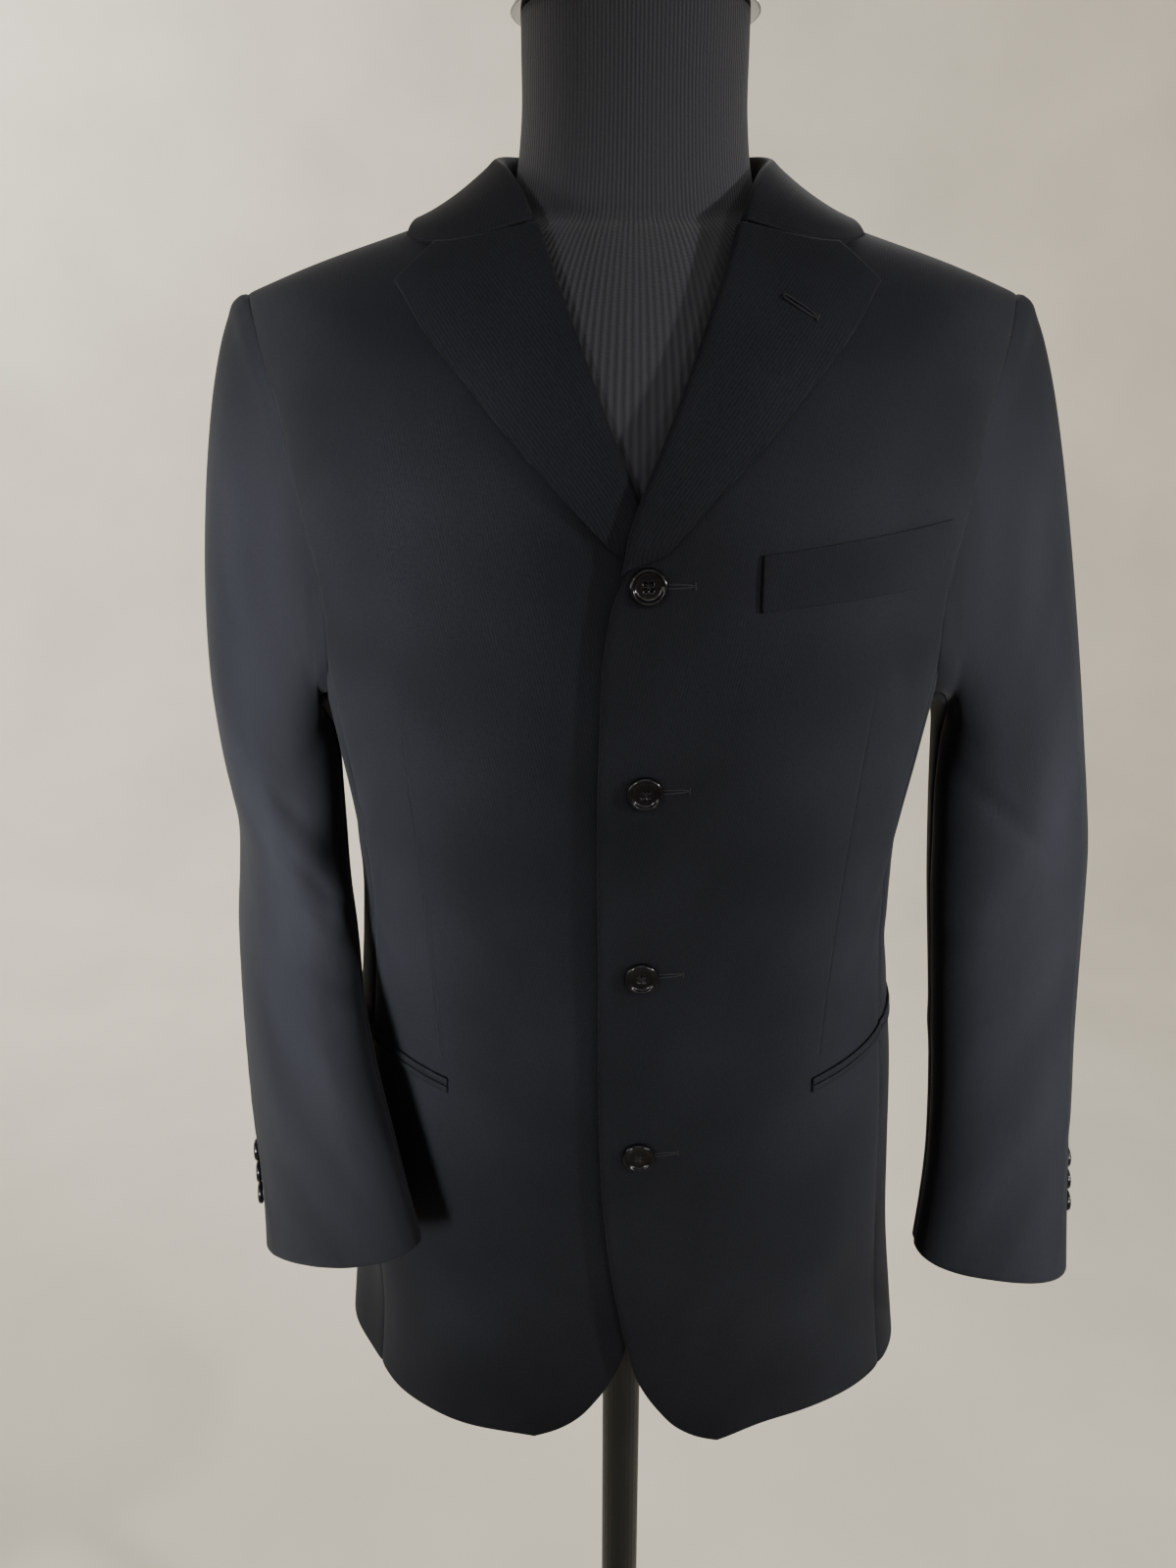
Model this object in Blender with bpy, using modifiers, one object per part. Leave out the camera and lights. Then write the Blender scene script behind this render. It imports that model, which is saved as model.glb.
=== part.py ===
"""A four-button blazer worn by a limbless dress form on a round-based stand.

Metres, +Z up, the front facing -Y and the wearer's left at +X. The origin is the centre of the
base's underside. The cloth pieces are walls cut from one body surface: an azimuth runs round the
figure, 0 at the centre front and 90 degrees at the wearer's left side, and a level runs from the
hem up to the shoulder seam. Above DOME_START a level is an angle that closes the chest and the
back over to the shoulder ridge, so level RIDGE_LEVEL is the shoulder seam itself.
"""

import math

import bmesh
import bpy
import numpy as np
from mathutils import Vector

# Cloth
WALL = 0.002
SEAM_GAP = 0.0003
GORGE_GAP = 0.0005
NUDGE = 0.0001

# Body surface, all round: level, half width, front depth, back depth, squareness of the oval
BODY = np.array([
    [0.690, 0.2085, 0.1235, 0.1370, 1.88],
    [0.740, 0.2030, 0.1225, 0.1385, 1.92],
    [0.800, 0.1965, 0.1250, 0.1400, 2.00],
    [0.870, 0.1920, 0.1275, 0.1410, 2.08],
    [0.950, 0.1865, 0.1305, 0.1370, 2.16],
    [1.000, 0.1805, 0.1315, 0.1310, 2.20],
    [1.050, 0.1765, 0.1330, 0.1270, 2.24],
    [1.100, 0.1755, 0.1375, 0.1300, 2.26],
    [1.170, 0.1850, 0.1450, 0.1430, 2.28],
    [1.240, 0.1970, 0.1490, 0.1540, 2.30],
    [1.300, 0.2080, 0.1465, 0.1590, 2.30],
    [1.345, 0.2150, 0.1450, 0.1590, 2.30],
    [1.385, 0.2265, 0.1450, 0.1590, 2.30],
    [1.450, 0.2370, 0.1450, 0.1590, 2.30],
])
SQUARENESS = 2.3
DOME_START = 1.300
RIDGE_LEVEL = 1.450
SEAM_Y = 0.008
TIP_HEIGHT = 1.4307
TIP_X = 0.2307
SHOULDER_SLOPE = 0.355
NECK_ROUNDING = 0.030
SHOULDER_SWELL = (0.185, 0.045, 0.0018)
HEM = 0.703
HEM_DROP = {"left": 0.0090, "right": 0.0035}
HEM_DROP_AZIMUTH = 0.36
HEM_WAVE = 0.005
HEM_WAVES = (3, 0.6)
HEM_FADE = 0.12
ARM_SEAM_LEVEL = 1.225

# Soft drapes of the body cloth: azimuth, middle level, half height, half width, depth, lean
# Azimuth and width in degrees, the lean in degrees of azimuth per metre of level, the rest metres
DRAPES = (
    (52, 0.80, 0.13, 9, 0.0030, 20),
    (-50, 0.82, 0.14, 10, 0.0026, -24),
    (96, 0.78, 0.13, 11, -0.0010, -10),
    (-80, 0.71, 0.10, 12, -0.0120, 0),
    (-106, 0.72, 0.11, 14, 0.0110, 0),
    (-46, 0.71, 0.08, 14, 0.0040, 0),
    (47, 0.71, 0.09, 14, -0.0045, 0),
    (80, 0.93, 0.22, 18, -0.0030, 0),
    (136, 0.80, 0.15, 12, 0.0040, -16),
    (-140, 0.79, 0.16, 11, 0.0044, 12),
    (124, 1.22, 0.11, 8, 0.0042, 26),
    (-121, 1.21, 0.12, 9, 0.0038, -30),
    (63, 1.17, 0.09, 7, 0.0024, -34),
    (-61, 1.16, 0.10, 7, 0.0028, 30),
    (166, 1.00, 0.10, 9, -0.0026, 10),
    (-167, 1.02, 0.11, 9, -0.0024, -8),
)

# The front edge, its cutaway, the roll line and the neckline: level, distance past the centre
FRONT_EDGE = np.array([
    [0.7030, 0.0620],
    [0.7100, 0.0490],
    [0.7200, 0.0350],
    [0.7370, 0.0200],
    [0.7600, 0.0065],
    [0.7900, -0.0015],
    [0.8400, -0.0105],
    [0.9000, -0.0168],
    [0.9600, -0.0195],
    [1.0500, -0.0200],
    [1.2000, -0.0200],
    [1.2500, -0.0175],
    [1.2800, -0.0115],
    [1.3057, -0.0004],
    [1.3332, 0.0217],
    [1.3822, 0.0505],
    [1.3950, 0.0555],
    [1.4200, 0.0665],
    [1.4467, 0.0775],
    [1.4500, 0.0785],
])
GORGE_LEVEL = 1.3950
NOTCH_SHARE = 0.70

# The lapel's outer edge: level, distance from the centre
LAPEL_EDGE = np.array([
    [1.2900, -0.0060],
    [1.2980, 0.0100],
    [1.3107, 0.0350],
    [1.3245, 0.0595],
    [1.3420, 0.0845],
    [1.3577, 0.1040],
    [1.3845, 0.1260],
])
LAPEL_START = {"left": 1.2950, "right": 1.3020}
LAPEL_LIFT = 0.0034
LAPEL_EDGE_LIFT = 0.0060
ROLL_RADIUS = 0.0040
ROLL_ROOM = 0.0012
ROLL_TURNS = (-42, -12, 18, 45, 70, 90)
ROLL_BEGINS = 1.27
ROLL_EASE = 0.02
LAPEL_ROWS = 13
LAPEL_SHARES = (0.06, 0.2, 0.37, 0.54, NOTCH_SHARE, 0.86, 1.0)
LAPEL_SPREAD = (2.2, 1.3)

# The front laps: how far the left stands off and the right sinks near the centre
OVER_LIFT = 0.0050
OVER_FADE = 0.060
UNDER_DIP = 0.0035
UNDER_FADE = 0.048
LAP_ENDS = (1.30, 0.06)

# Seams of the side body: level, azimuth in degrees
FRONT_SEAM = np.array([[0.690, 76.0], [0.850, 73.0], [1.040, 69.0], [1.150, 68.0], [1.225, 68.0]])
BACK_SEAM = np.array([[0.690, 116.0], [0.850, 117.0], [1.040, 119.0], [1.150, 116.0], [1.225, 112.0]])

# The armhole: level, azimuth of its front and back, and azimuth, level of its underarm
ARM_FRONT = np.array([
    [1.225, 68.0], [1.255, 65.0], [1.290, 65.6], [1.330, 70.4], [1.360, 73.4], [1.390, 75.2],
    [1.425, 77.0], [1.450, 78.0],
])
ARM_BACK = np.array([
    [1.225, 112.0], [1.255, 114.6], [1.290, 113.6], [1.330, 109.0], [1.360, 105.6],
    [1.390, 103.8], [1.425, 103.2], [1.450, 103.12],
])
UNDERARM = np.array([
    [68.0, 1.225], [73.0, 1.2070], [80.0, 1.1965], [90.0, 1.1925], [100.0, 1.1965],
    [107.0, 1.2070], [112.0, 1.225],
])

# Grids
HEM_ROWS = 15
ARM_LEVELS = (1.225, 1.250, 1.280, 1.310, 1.340, 1.368, 1.394, 1.417, 1.436, 1.450)
FRONT_COLUMNS = 11
SIDE_COLUMNS = 7
BACK_COLUMNS = 9
HEM_CROWDING = 1.15
FRONT_CROWDING = 0.9
SHOULDER_COLUMNS = 6
NECKLINE_BEND = 0.8

# Sleeves: height, centre out, centre back, half across, half deep, turn in degrees
SLEEVES = {
    "left": np.array([
        [1.165, 0.2475, 0.0040, 0.0475, 0.0670, 15.0],
        [1.098, 0.2520, -0.0050, 0.0504, 0.0640, 15.0],
        [1.047, 0.2525, -0.0140, 0.0493, 0.0590, 14.0],
        [0.980, 0.2535, -0.0260, 0.0470, 0.0530, 12.0],
        [0.925, 0.2540, -0.0370, 0.0457, 0.0490, 10.0],
        [0.865, 0.2545, -0.0480, 0.0469, 0.0440, 10.0],
        [0.808, 0.2535, -0.0560, 0.0513, 0.0400, 10.0],
    ]),
    "right": np.array([
        [1.165, 0.2268, 0.0020, 0.0375, 0.0750, 14.0],
        [1.105, 0.2195, -0.0180, 0.0342, 0.0700, 18.0],
        [1.055, 0.2165, -0.0380, 0.0350, 0.0660, 24.0],
        [0.997, 0.2065, -0.0740, 0.0345, 0.0640, 30.0],
        [0.930, 0.1970, -0.0925, 0.0340, 0.0680, 38.0],
        [0.890, 0.1920, -0.0985, 0.0320, 0.0690, 44.0],
        [0.849, 0.1885, -0.1010, 0.0310, 0.0735, 48.0],
    ]),
}
# Squareness of the sleeves' front half, at the cuff and at the upper arm; the back half is an oval
SLEEVE_SQUARE = {"left": (2.6, 2.6), "right": (2.2, 2.6)}
SQUARE_FROM = 0.97
SQUARE_OVER = 0.15
CUFF_RISE = {"left": 0.07, "right": 0.25}
CUFF_DROP = {"left": 0.03, "right": 0.33}
CAP_STEPS = (0.0, 0.05, 0.13, 0.24, 0.38, 0.54, 0.70, 0.86, 1.0)
CUFF_STEPS = 11
SLEEVE_TWIST = {"left": 24.0, "right": -30.0}
SLEEVE_EVENNESS = 0.60
ELBOW_SEAM = -4
FOREARM_SEAM = 10
ROPE_RISE = 0.30
CAP_PULL = 0.27
UNDERARM_PULL = 0.75
LANDING_PULL = 1.15
LANDING_STEP = 0.01
ARMHOLE_MIDDLE = (0.002, 1.312)
UNDERARM_TURNS = (100, 62)
LAST_TURN = 172
CUFF_REACH = 0.25

# Soft creases of the sleeves: turn in degrees, height, half turn, half height, depth, slant
CREASES = {
    "left": (
        (70, 1.205, 30, 0.020, 0.0030, 0.0005),
        (150, 1.170, 34, 0.016, -0.0030, 0.0006),
        (110, 1.085, 40, 0.018, 0.0024, -0.0003),
        (-60, 1.120, 42, 0.022, 0.0030, 0.0004),
        (-100, 1.070, 40, 0.018, -0.0026, 0.0003),
        (60, 0.930, 46, 0.030, 0.0016, 0.0002),
    ),
    "right": (
        (72, 1.200, 32, 0.022, 0.0034, 0.0005),
        (118, 1.115, 34, 0.013, -0.0040, -0.0006),
        (112, 1.083, 38, 0.013, 0.0040, -0.0006),
        (20, 1.095, 34, 0.030, -0.0030, 0.0002),
        (-70, 1.110, 40, 0.020, 0.0034, 0.0004),
        (60, 0.960, 44, 0.034, 0.0018, 0.0003),
    ),
}

# Collar from its front end to the centre back:
# share, fold base out, fold base angle, outer edge out, outer edge angle, stand height
COLLAR = np.array([
    [0.00, 0.0555, 57.0, 0.1235, 67.7, 0.0000],
    [0.12, 0.0620, 66.0, 0.1230, 74.0, 0.0030],
    [0.24, 0.0695, 76.0, 0.1215, 82.0, 0.0085],
    [0.36, 0.0775, 88.0, 0.1180, 90.0, 0.0155],
    [0.50, 0.0725, 99.0, 0.1060, 101.0, 0.0220],
    [0.68, 0.0540, 108.5, 0.0790, 112.0, 0.0270],
    [0.84, 0.0290, 113.2, 0.0440, 118.0, 0.0292],
    [1.00, 0.0000, 115.0, 0.0000, 120.6, 0.0300],
])
GORGE_SAG = 5.0
SAG_ENDS = 0.36
COLLAR_LIFT = 0.0036
COLLAR_ROWS = 15
COLLAR_CROWDING = 0.85
NECKWARD = 0.0030
NECKLINE_DROP = 0.0030
FALL_SHARES = (0.12, 0.30, 0.50, 0.73, 0.87, 1.0)
FALL_DROP = 1.25

# The collar's stand up to its fold: out from the neck, rise along the normal, share of the height
COLLAR_STAND = (
    (-1.0, -0.0010, 0.0),
    (-1.0, 0.0006, 0.5),
    (-1.0, 0.0012, 0.88),
    (-0.62, 0.0026, 1.0),
    (0.1, 0.0036, 1.0),
)

# Pockets, on the front surface, from the centre outwards
WELT_X = (0.063, 0.171)
WELT_TOP = (1.2985, 1.3120)
WELT_BOTTOM = (1.2690, 1.2775)
WELT_THICK = 0.0014
WELT_LIFT = 0.0007
WELT_GRID = (4, 11)
WELT_TURN_UP = 0.003
WELT_TURN_START = 0.8
WELT_SLANT = 0.005
JET_X = 0.112
JET_LENGTH = 0.138
JET_HEIGHT = 0.9695
JET_SLANT = 0.20
JET_WIDTH = 0.0048
JET_THICK = 0.0010
JET_LIFT = 0.0009
JET_POINTS = 16
JET_BODY_ROW = 4

# Buttons: radius, height
FRONT_BUTTON = (0.0100, 0.0036)
CUFF_BUTTON = (0.0075, 0.0030)
BUTTON_SIDES = 14
BUTTON_PROFILE = (
    (0.0, 0.62), (0.60, 0.58), (0.72, 0.92), (0.86, 1.0), (0.97, 0.74), (1.0, 0.40),
    (0.88, 0.08), (0.70, 0.0), (0.0, 0.0),
)
BUTTON_X = 0.0045
BUTTON_LEVELS = (1.2835, 1.174, 1.059, 0.937)
CUFF_BUTTON_FIRST = 0.040
CUFF_BUTTON_STEP = 0.0156
CUFF_BUTTON_LIFT = 0.0003

# Dress form: level, clearance to the body surface
FORM_CLEARANCE = np.array([
    [0.790, 0.0340], [0.880, 0.0270], [0.960, 0.0200], [1.040, 0.0120], [1.150, 0.0100],
    [1.230, 0.0100], [1.300, 0.0100],
])
FORM_BOTTOM = 0.790
FORM_FOOT = 0.92
FORM_LEVELS = (0.796, 0.820, 0.88, 0.95, 1.02, 1.09, 1.16, 1.23, 1.27)
FORM_SPREADS = (1.0, 0.985, 0.95, 0.89, 0.80, 0.68, 0.54, 0.40, 0.26, 0.12, 0.0)
FORM_FOOT_ROUND = 0.975
FORM_SIDES = 36
FORM_DOME_ROW = 10
FORM_SEAT = 0.00255
FORM_SHOULDER = 0.198
FORM_SHOULDER_POWER = 8
FORM_DROP = (0.0070, 0.0060)
NECK_HALF_WIDTH = 0.0630
NECK_HALF_DEPTH = 0.0625
NECK_BASE = (0.0710, 0.0640)
NECK_FLARE = 1.03
NECK_CORNER_RISE = 0.010
NECK_STEPS = (0.25, 0.5, 0.75, 1.0)
NECK_LEVELS = (1.530, 1.552, 1.574)
CAP_RADIUS = 0.0665
CAP_HEIGHT = 0.030
CAP_SIDES = 28
CAP_PROFILE = (
    (0.0, 1.0), (0.35, 0.93), (0.66, 0.72), (0.88, 0.45), (0.98, 0.26), (1.0, 0.14),
    (0.985, 0.03), (0.95, 0.0), (0.0, 0.0),
)

# Stand
POLE_RADIUS = 0.0145
POLE_SIDES = 24
BASE_RADIUS = 0.180
BASE_HEIGHT = 0.014
BASE_ROUND = (0.010, 0.004, 0.0015, 0.006)
BASE_SIDES = 40

SMOOTH_ANGLE = 40.0

FINISHES = {
    "worsted": ((0.016, 0.018, 0.024, 1.0), 0.72, 0.0),
    "button_resin": ((0.008, 0.008, 0.009, 1.0), 0.18, 0.0),
    "jersey": ((0.020, 0.020, 0.022, 1.0), 0.90, 0.0),
    "gloss_cap": ((0.010, 0.010, 0.010, 1.0), 0.12, 0.0),
    "painted_steel": ((0.018, 0.019, 0.019, 1.0), 0.38, 0.6),
}


def through(table, column, at):
    """Value of a table's column at a key in its first column: cubic pieces through the rows."""
    keys = table[:, 0]
    values = table[:, column]
    slopes = np.gradient(values, keys)
    at = np.clip(at, keys[0], keys[-1])
    row = np.clip(np.searchsorted(keys, at) - 1, 0, len(keys) - 2)
    width = keys[row + 1] - keys[row]
    t = (at - keys[row]) / width
    return (
        (2 * t**3 - 3 * t**2 + 1) * values[row]
        + (t**3 - 2 * t**2 + t) * width * slopes[row]
        + (3 * t**2 - 2 * t**3) * values[row + 1]
        + (t**3 - t**2) * width * slopes[row + 1]
    )


def ease(t):
    """Smooth step from 0 to 1."""
    t = np.clip(t, 0.0, 1.0)
    return t * t * (3 - 2 * t)


def blend(a, b, share):
    """Straight mix of a and b."""
    return a + (b - a) * share


def unit(vectors):
    """Vectors along the last axis, each made one long."""
    return vectors / np.linalg.norm(vectors, axis=-1, keepdims=True)


def ridge_height(x):
    """Height of the shoulder seam, falling outwards from a rounded top at the neck."""
    middle, wide, high = SHOULDER_SWELL
    swell = high * np.exp(-(((np.abs(x) - middle) / wide) ** 2))
    return TIP_HEIGHT + SHOULDER_SLOPE * (TIP_X - np.sqrt(x**2 + NECK_ROUNDING**2)) + swell


def drape(azimuth, level):
    """Sum of the soft folds: each a bell across the azimuth and along the level."""
    total = np.zeros(np.broadcast(azimuth, level).shape)
    degrees = np.degrees(azimuth)
    for middle, height, tall, wide, depth, lean in DRAPES:
        across = (degrees - middle - lean * (level - height)) / wide
        along = (level - height) / tall
        total = total + depth * np.exp(-(across**2) - along**4)
    return total


def ring_radius(azimuth, level):
    """Distance from the axis of a squared-off oval whose sizes come from BODY."""
    half_width = through(BODY, 1, level)
    facing_front = np.cos(azimuth) > 0
    depth = np.where(facing_front, through(BODY, 2, level), through(BODY, 3, level))
    square = through(BODY, 4, level)
    sideways = np.abs(np.sin(azimuth) / half_width) ** square
    frontways = np.abs(np.cos(azimuth) / depth) ** square
    return (sideways + frontways) ** (-1 / square)


def body(azimuth, level):
    """Point of the body surface: a ring below DOME_START, a quarter arc over to the ridge above."""
    azimuth, level = np.broadcast_arrays(azimuth, level)
    arc = np.clip((level - DOME_START) / (RIDGE_LEVEL - DOME_START), 0, 1) * math.pi / 2
    radius = ring_radius(azimuth, level) + drape(azimuth, level) * np.cos(arc)
    x = radius * np.sin(azimuth)
    y = SEAM_Y + (-radius * np.cos(azimuth) - SEAM_Y) * np.cos(arc)
    z = np.minimum(level, DOME_START) + (ridge_height(x) - DOME_START) * np.sin(arc)
    return np.stack([x, y, z], axis=-1)


def body_normal(azimuth, level):
    """Outward normal of the body surface, from small steps along both parameters."""
    around = body(azimuth + NUDGE, level) - body(azimuth - NUDGE, level)
    upward = body(azimuth, level + NUDGE) - body(azimuth, level - NUDGE)
    return unit(np.cross(around, upward))


def azimuth_at(x, level, back=False):
    """Azimuth of the point of a level's ring that lies at x."""
    half_width = through(BODY, 1, level)
    depth = through(BODY, 3 if back else 2, level)
    square = through(BODY, 4, level)
    share = np.clip(np.abs(x) / half_width, 0, 0.9999) ** square
    y = depth * (1 - share) ** (1 / square)
    return np.arctan2(x, -y if back else y)


def level_at(x, z):
    """Level of the front surface's point at x and height z."""
    rise = np.clip((z - DOME_START) / (ridge_height(x) - DOME_START), 0, 1)
    arc = np.arcsin(rise) / (math.pi / 2)
    return np.where(z < DOME_START, z, DOME_START + (RIDGE_LEVEL - DOME_START) * arc)


def lap(x, level, side):
    """How far a front stands off the body surface beside the closure; x counts from the centre."""
    fade = 1 - ease((level - LAP_ENDS[0]) / LAP_ENDS[1])
    if side == "left":
        return OVER_LIFT * ease((OVER_FADE - x) / OVER_FADE) * fade
    return -UNDER_DIP * ease((UNDER_FADE - x) / UNDER_FADE) * fade


def mirrored(points, side):
    """Points of the wearer's left, or turned over to the right."""
    return points * np.array([1.0 if side == "left" else -1.0, 1.0, 1.0])


def lifted(azimuth, level, lift, side):
    """Point at a lift off the body surface; the azimuth counts towards the named side."""
    sign = 1.0 if side == "left" else -1.0
    azimuth = np.asarray(azimuth) * sign
    return body(azimuth, level) + body_normal(azimuth, level) * np.asarray(lift)[..., None]


def inset(outer, inner, rows=True, columns=True, gap=SEAM_GAP):
    """Edges of both faces moved in by half the gap, towards their neighbours."""
    for grid in (outer, inner):
        if columns:
            for edge, neighbour in ((0, 1), (-1, -2)):
                step = unit(outer[:, neighbour] - outer[:, edge])
                grid[:, edge] += step * gap / 2
        if rows:
            for edge, neighbour in ((0, 1), (-1, -2)):
                step = unit(outer[neighbour] - outer[edge])
                grid[edge] += step * gap / 2
    return outer, inner


def finish(name):
    """A material by its name in FINISHES."""
    material = bpy.data.materials.get(name)
    if material is None:
        colour, roughness, metallic = FINISHES[name]
        material = bpy.data.materials.new(name)
        material.use_nodes = True
        shader = material.node_tree.nodes["Principled BSDF"]
        shader.inputs["Base Color"].default_value = colour
        shader.inputs["Roughness"].default_value = roughness
        shader.inputs["Metallic"].default_value = metallic
        material.diffuse_color = colour
    return material


def node_material(node, kind):
    """The node's own copy of a finish."""
    material = finish(kind).copy()
    material.name = f"{node}_{kind}"
    return material


def add_object(name, mesh, kind):
    """An object in the part's collection with its own material."""
    mesh.materials.clear()
    mesh.materials.append(node_material(name, kind))
    mesh.shade_smooth()
    mesh.set_sharp_from_angle(angle=math.radians(SMOOTH_ANGLE))
    thing = bpy.data.objects.new(name, mesh)
    bpy.data.collections["blazer_on_dress_form"].objects.link(thing)
    return thing


def wall(name, outer, inner):
    """A closed wall between two grids of points: two faces and a rim all round."""
    rows, columns = outer.shape[:2]
    count = rows * columns
    number = np.arange(count).reshape(rows, columns)
    low, right = number[:-1, :-1], number[:-1, 1:]
    high, far = number[1:, :-1], number[1:, 1:]
    face = np.stack([low, right, far, high], axis=-1).reshape(-1, 4)
    rim = np.concatenate([number[0], number[1:, -1], number[-1, -2::-1], number[-2:0:-1, 0]])
    after = np.roll(rim, -1)
    edge = np.stack([rim, rim + count, after + count, after], axis=-1)
    faces = np.concatenate([face, face[:, ::-1] + count, edge])
    points = np.concatenate([outer.reshape(-1, 3), inner.reshape(-1, 3)])
    mesh = bpy.data.meshes.new(name)
    mesh.from_pydata(points.tolist(), [], faces.tolist())
    face_outwards(mesh)
    return add_object(name, mesh, "worsted")


def face_outwards(mesh):
    """Turns a closed mesh's faces outwards and splits them into triangles."""
    form = bmesh.new()
    form.from_mesh(mesh)
    bmesh.ops.recalc_face_normals(form, faces=form.faces)
    bmesh.ops.triangulate(form, faces=form.faces)
    form.to_mesh(mesh)
    form.free()


def body_levels():
    """Levels from the hem to the armhole's foot, closer together near the hem."""
    steps = np.linspace(0, 1, HEM_ROWS) ** HEM_CROWDING
    return HEM + (ARM_SEAM_LEVEL - HEM) * steps


def hem_shape(azimuth, level, side):
    """The hem's small rise and dip round the skirt and its drop at the front, fading upwards."""
    fade = 1 - ease((level - HEM) / HEM_FADE)
    waves, phase = HEM_WAVES
    wave = HEM_WAVE * np.sin(waves * azimuth + phase) * np.clip(np.sin(np.abs(azimuth)), 0, 1)
    drop = HEM_DROP[side] * np.exp(-((azimuth / HEM_DROP_AZIMUTH - 1) ** 2))
    return fade * (wave - drop)


def wall_on_body(name, azimuth, level, lift, side):
    """A panel's wall from its grids of azimuth, level and lift."""
    level = level + hem_shape(azimuth, level, side)
    outer = lifted(azimuth, level, lift, side)
    inner = lifted(azimuth, level, lift - WALL, side)
    inset(outer, inner)
    return wall(name, outer, inner)


def front(side):
    """A front, from its edge, roll line and neckline out to the side seam and the armhole."""
    level = np.concatenate([body_levels(), np.array(ARM_LEVELS[1:])])
    edge_x = through(FRONT_EDGE, 1, level)
    rolled = ease((level - ROLL_BEGINS) / ROLL_EASE) * (level <= GORGE_LEVEL + ROLL_EASE)
    start = azimuth_at(edge_x + ROLL_ROOM * rolled, level)
    seam = np.radians(through(FRONT_SEAM, 1, level))
    arm = np.radians(through(ARM_FRONT, 1, level))
    stop = np.where(level <= ARM_SEAM_LEVEL, seam, arm)
    share = np.linspace(0, 1, FRONT_COLUMNS) ** FRONT_CROWDING
    azimuth = blend(start[:, None], stop[:, None], share)
    levels = np.repeat(level[:, None], FRONT_COLUMNS, axis=1)
    x = ring_radius(azimuth, levels) * np.sin(azimuth)
    return wall_on_body(f"front_{side}", azimuth, levels, lap(x, levels, side), side)


def side_body(side):
    """The narrow panel under the arm; its top edge is the underarm curve."""
    base = body_levels()
    share = np.linspace(0, 1, SIDE_COLUMNS)
    start = np.radians(through(FRONT_SEAM, 1, base))
    stop = np.radians(through(BACK_SEAM, 1, base))
    azimuth = blend(start[:, None], stop[:, None], share)
    top = through(UNDERARM, 1, np.degrees(azimuth[-1]))
    stretch = (top - HEM) / (ARM_SEAM_LEVEL - HEM)
    level = HEM + (base[:, None] - HEM) * stretch[None, :]
    return wall_on_body(f"side_{side}", azimuth, level, np.zeros(level.shape), side)


def back(side):
    """A back, from the side seam and the armhole to the centre back seam and the neckline."""
    level = np.concatenate([body_levels(), np.array(ARM_LEVELS[1:])])
    seam = np.radians(through(BACK_SEAM, 1, level))
    arm = np.radians(through(ARM_BACK, 1, level))
    start = np.where(level <= ARM_SEAM_LEVEL, seam, arm)
    share = np.linspace(0, 1, BACK_COLUMNS)
    stop = np.full(level.shape, math.pi)
    azimuth = blend(start[:, None], stop[:, None], share)
    levels = np.repeat(level[:, None], BACK_COLUMNS, axis=1)
    azimuth, levels = bend_to_neckline(azimuth, levels)
    return wall_on_body(f"back_{side}", azimuth, levels, np.zeros(levels.shape), side)


def bend_to_neckline(azimuth, levels):
    """The back's upper rows bent so that the top row is shoulder seam and then neckline.

    The top row runs along the ridge from the shoulder tip to the neck point, and from there along
    the collar's fold base down to the centre back.
    """
    bent = azimuth.copy()
    raised = levels.copy()
    tip_x = ring_radius(azimuth[-1, 0], levels[-1, 0]) * math.sin(azimuth[-1, 0])
    neck_x = FRONT_EDGE[-1, 1]
    seam_x = np.linspace(tip_x, neck_x, SHOULDER_COLUMNS)
    neck_share = np.linspace(SAG_ENDS, 1.0, BACK_COLUMNS - SHOULDER_COLUMNS + 1)[1:]
    neck_line = through(COLLAR, 1, neck_share)
    neck_angle = through(COLLAR, 2, neck_share)
    neck_level = RIDGE_LEVEL - (neck_angle - 90) / 90 * (RIDGE_LEVEL - DOME_START) - NECKLINE_DROP
    top_x = np.concatenate([seam_x, neck_line])
    top_level = np.concatenate([np.full(SHOULDER_COLUMNS, RIDGE_LEVEL), neck_level])
    top_azimuth = azimuth_at(top_x, top_level, back=True)
    rise = (levels[:, 0] - ARM_SEAM_LEVEL) / (RIDGE_LEVEL - ARM_SEAM_LEVEL)
    bend = ease(rise) ** NECKLINE_BEND
    for row in range(levels.shape[0]):
        if bend[row] > 0:
            bent[row] = blend(azimuth[row], top_azimuth, bend[row])
            drop = (RIDGE_LEVEL - top_level) * bend[row]
            raised[row] = levels[row] - drop
            bent[row, 0] = azimuth[row, 0]
    return bent, raised


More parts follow.
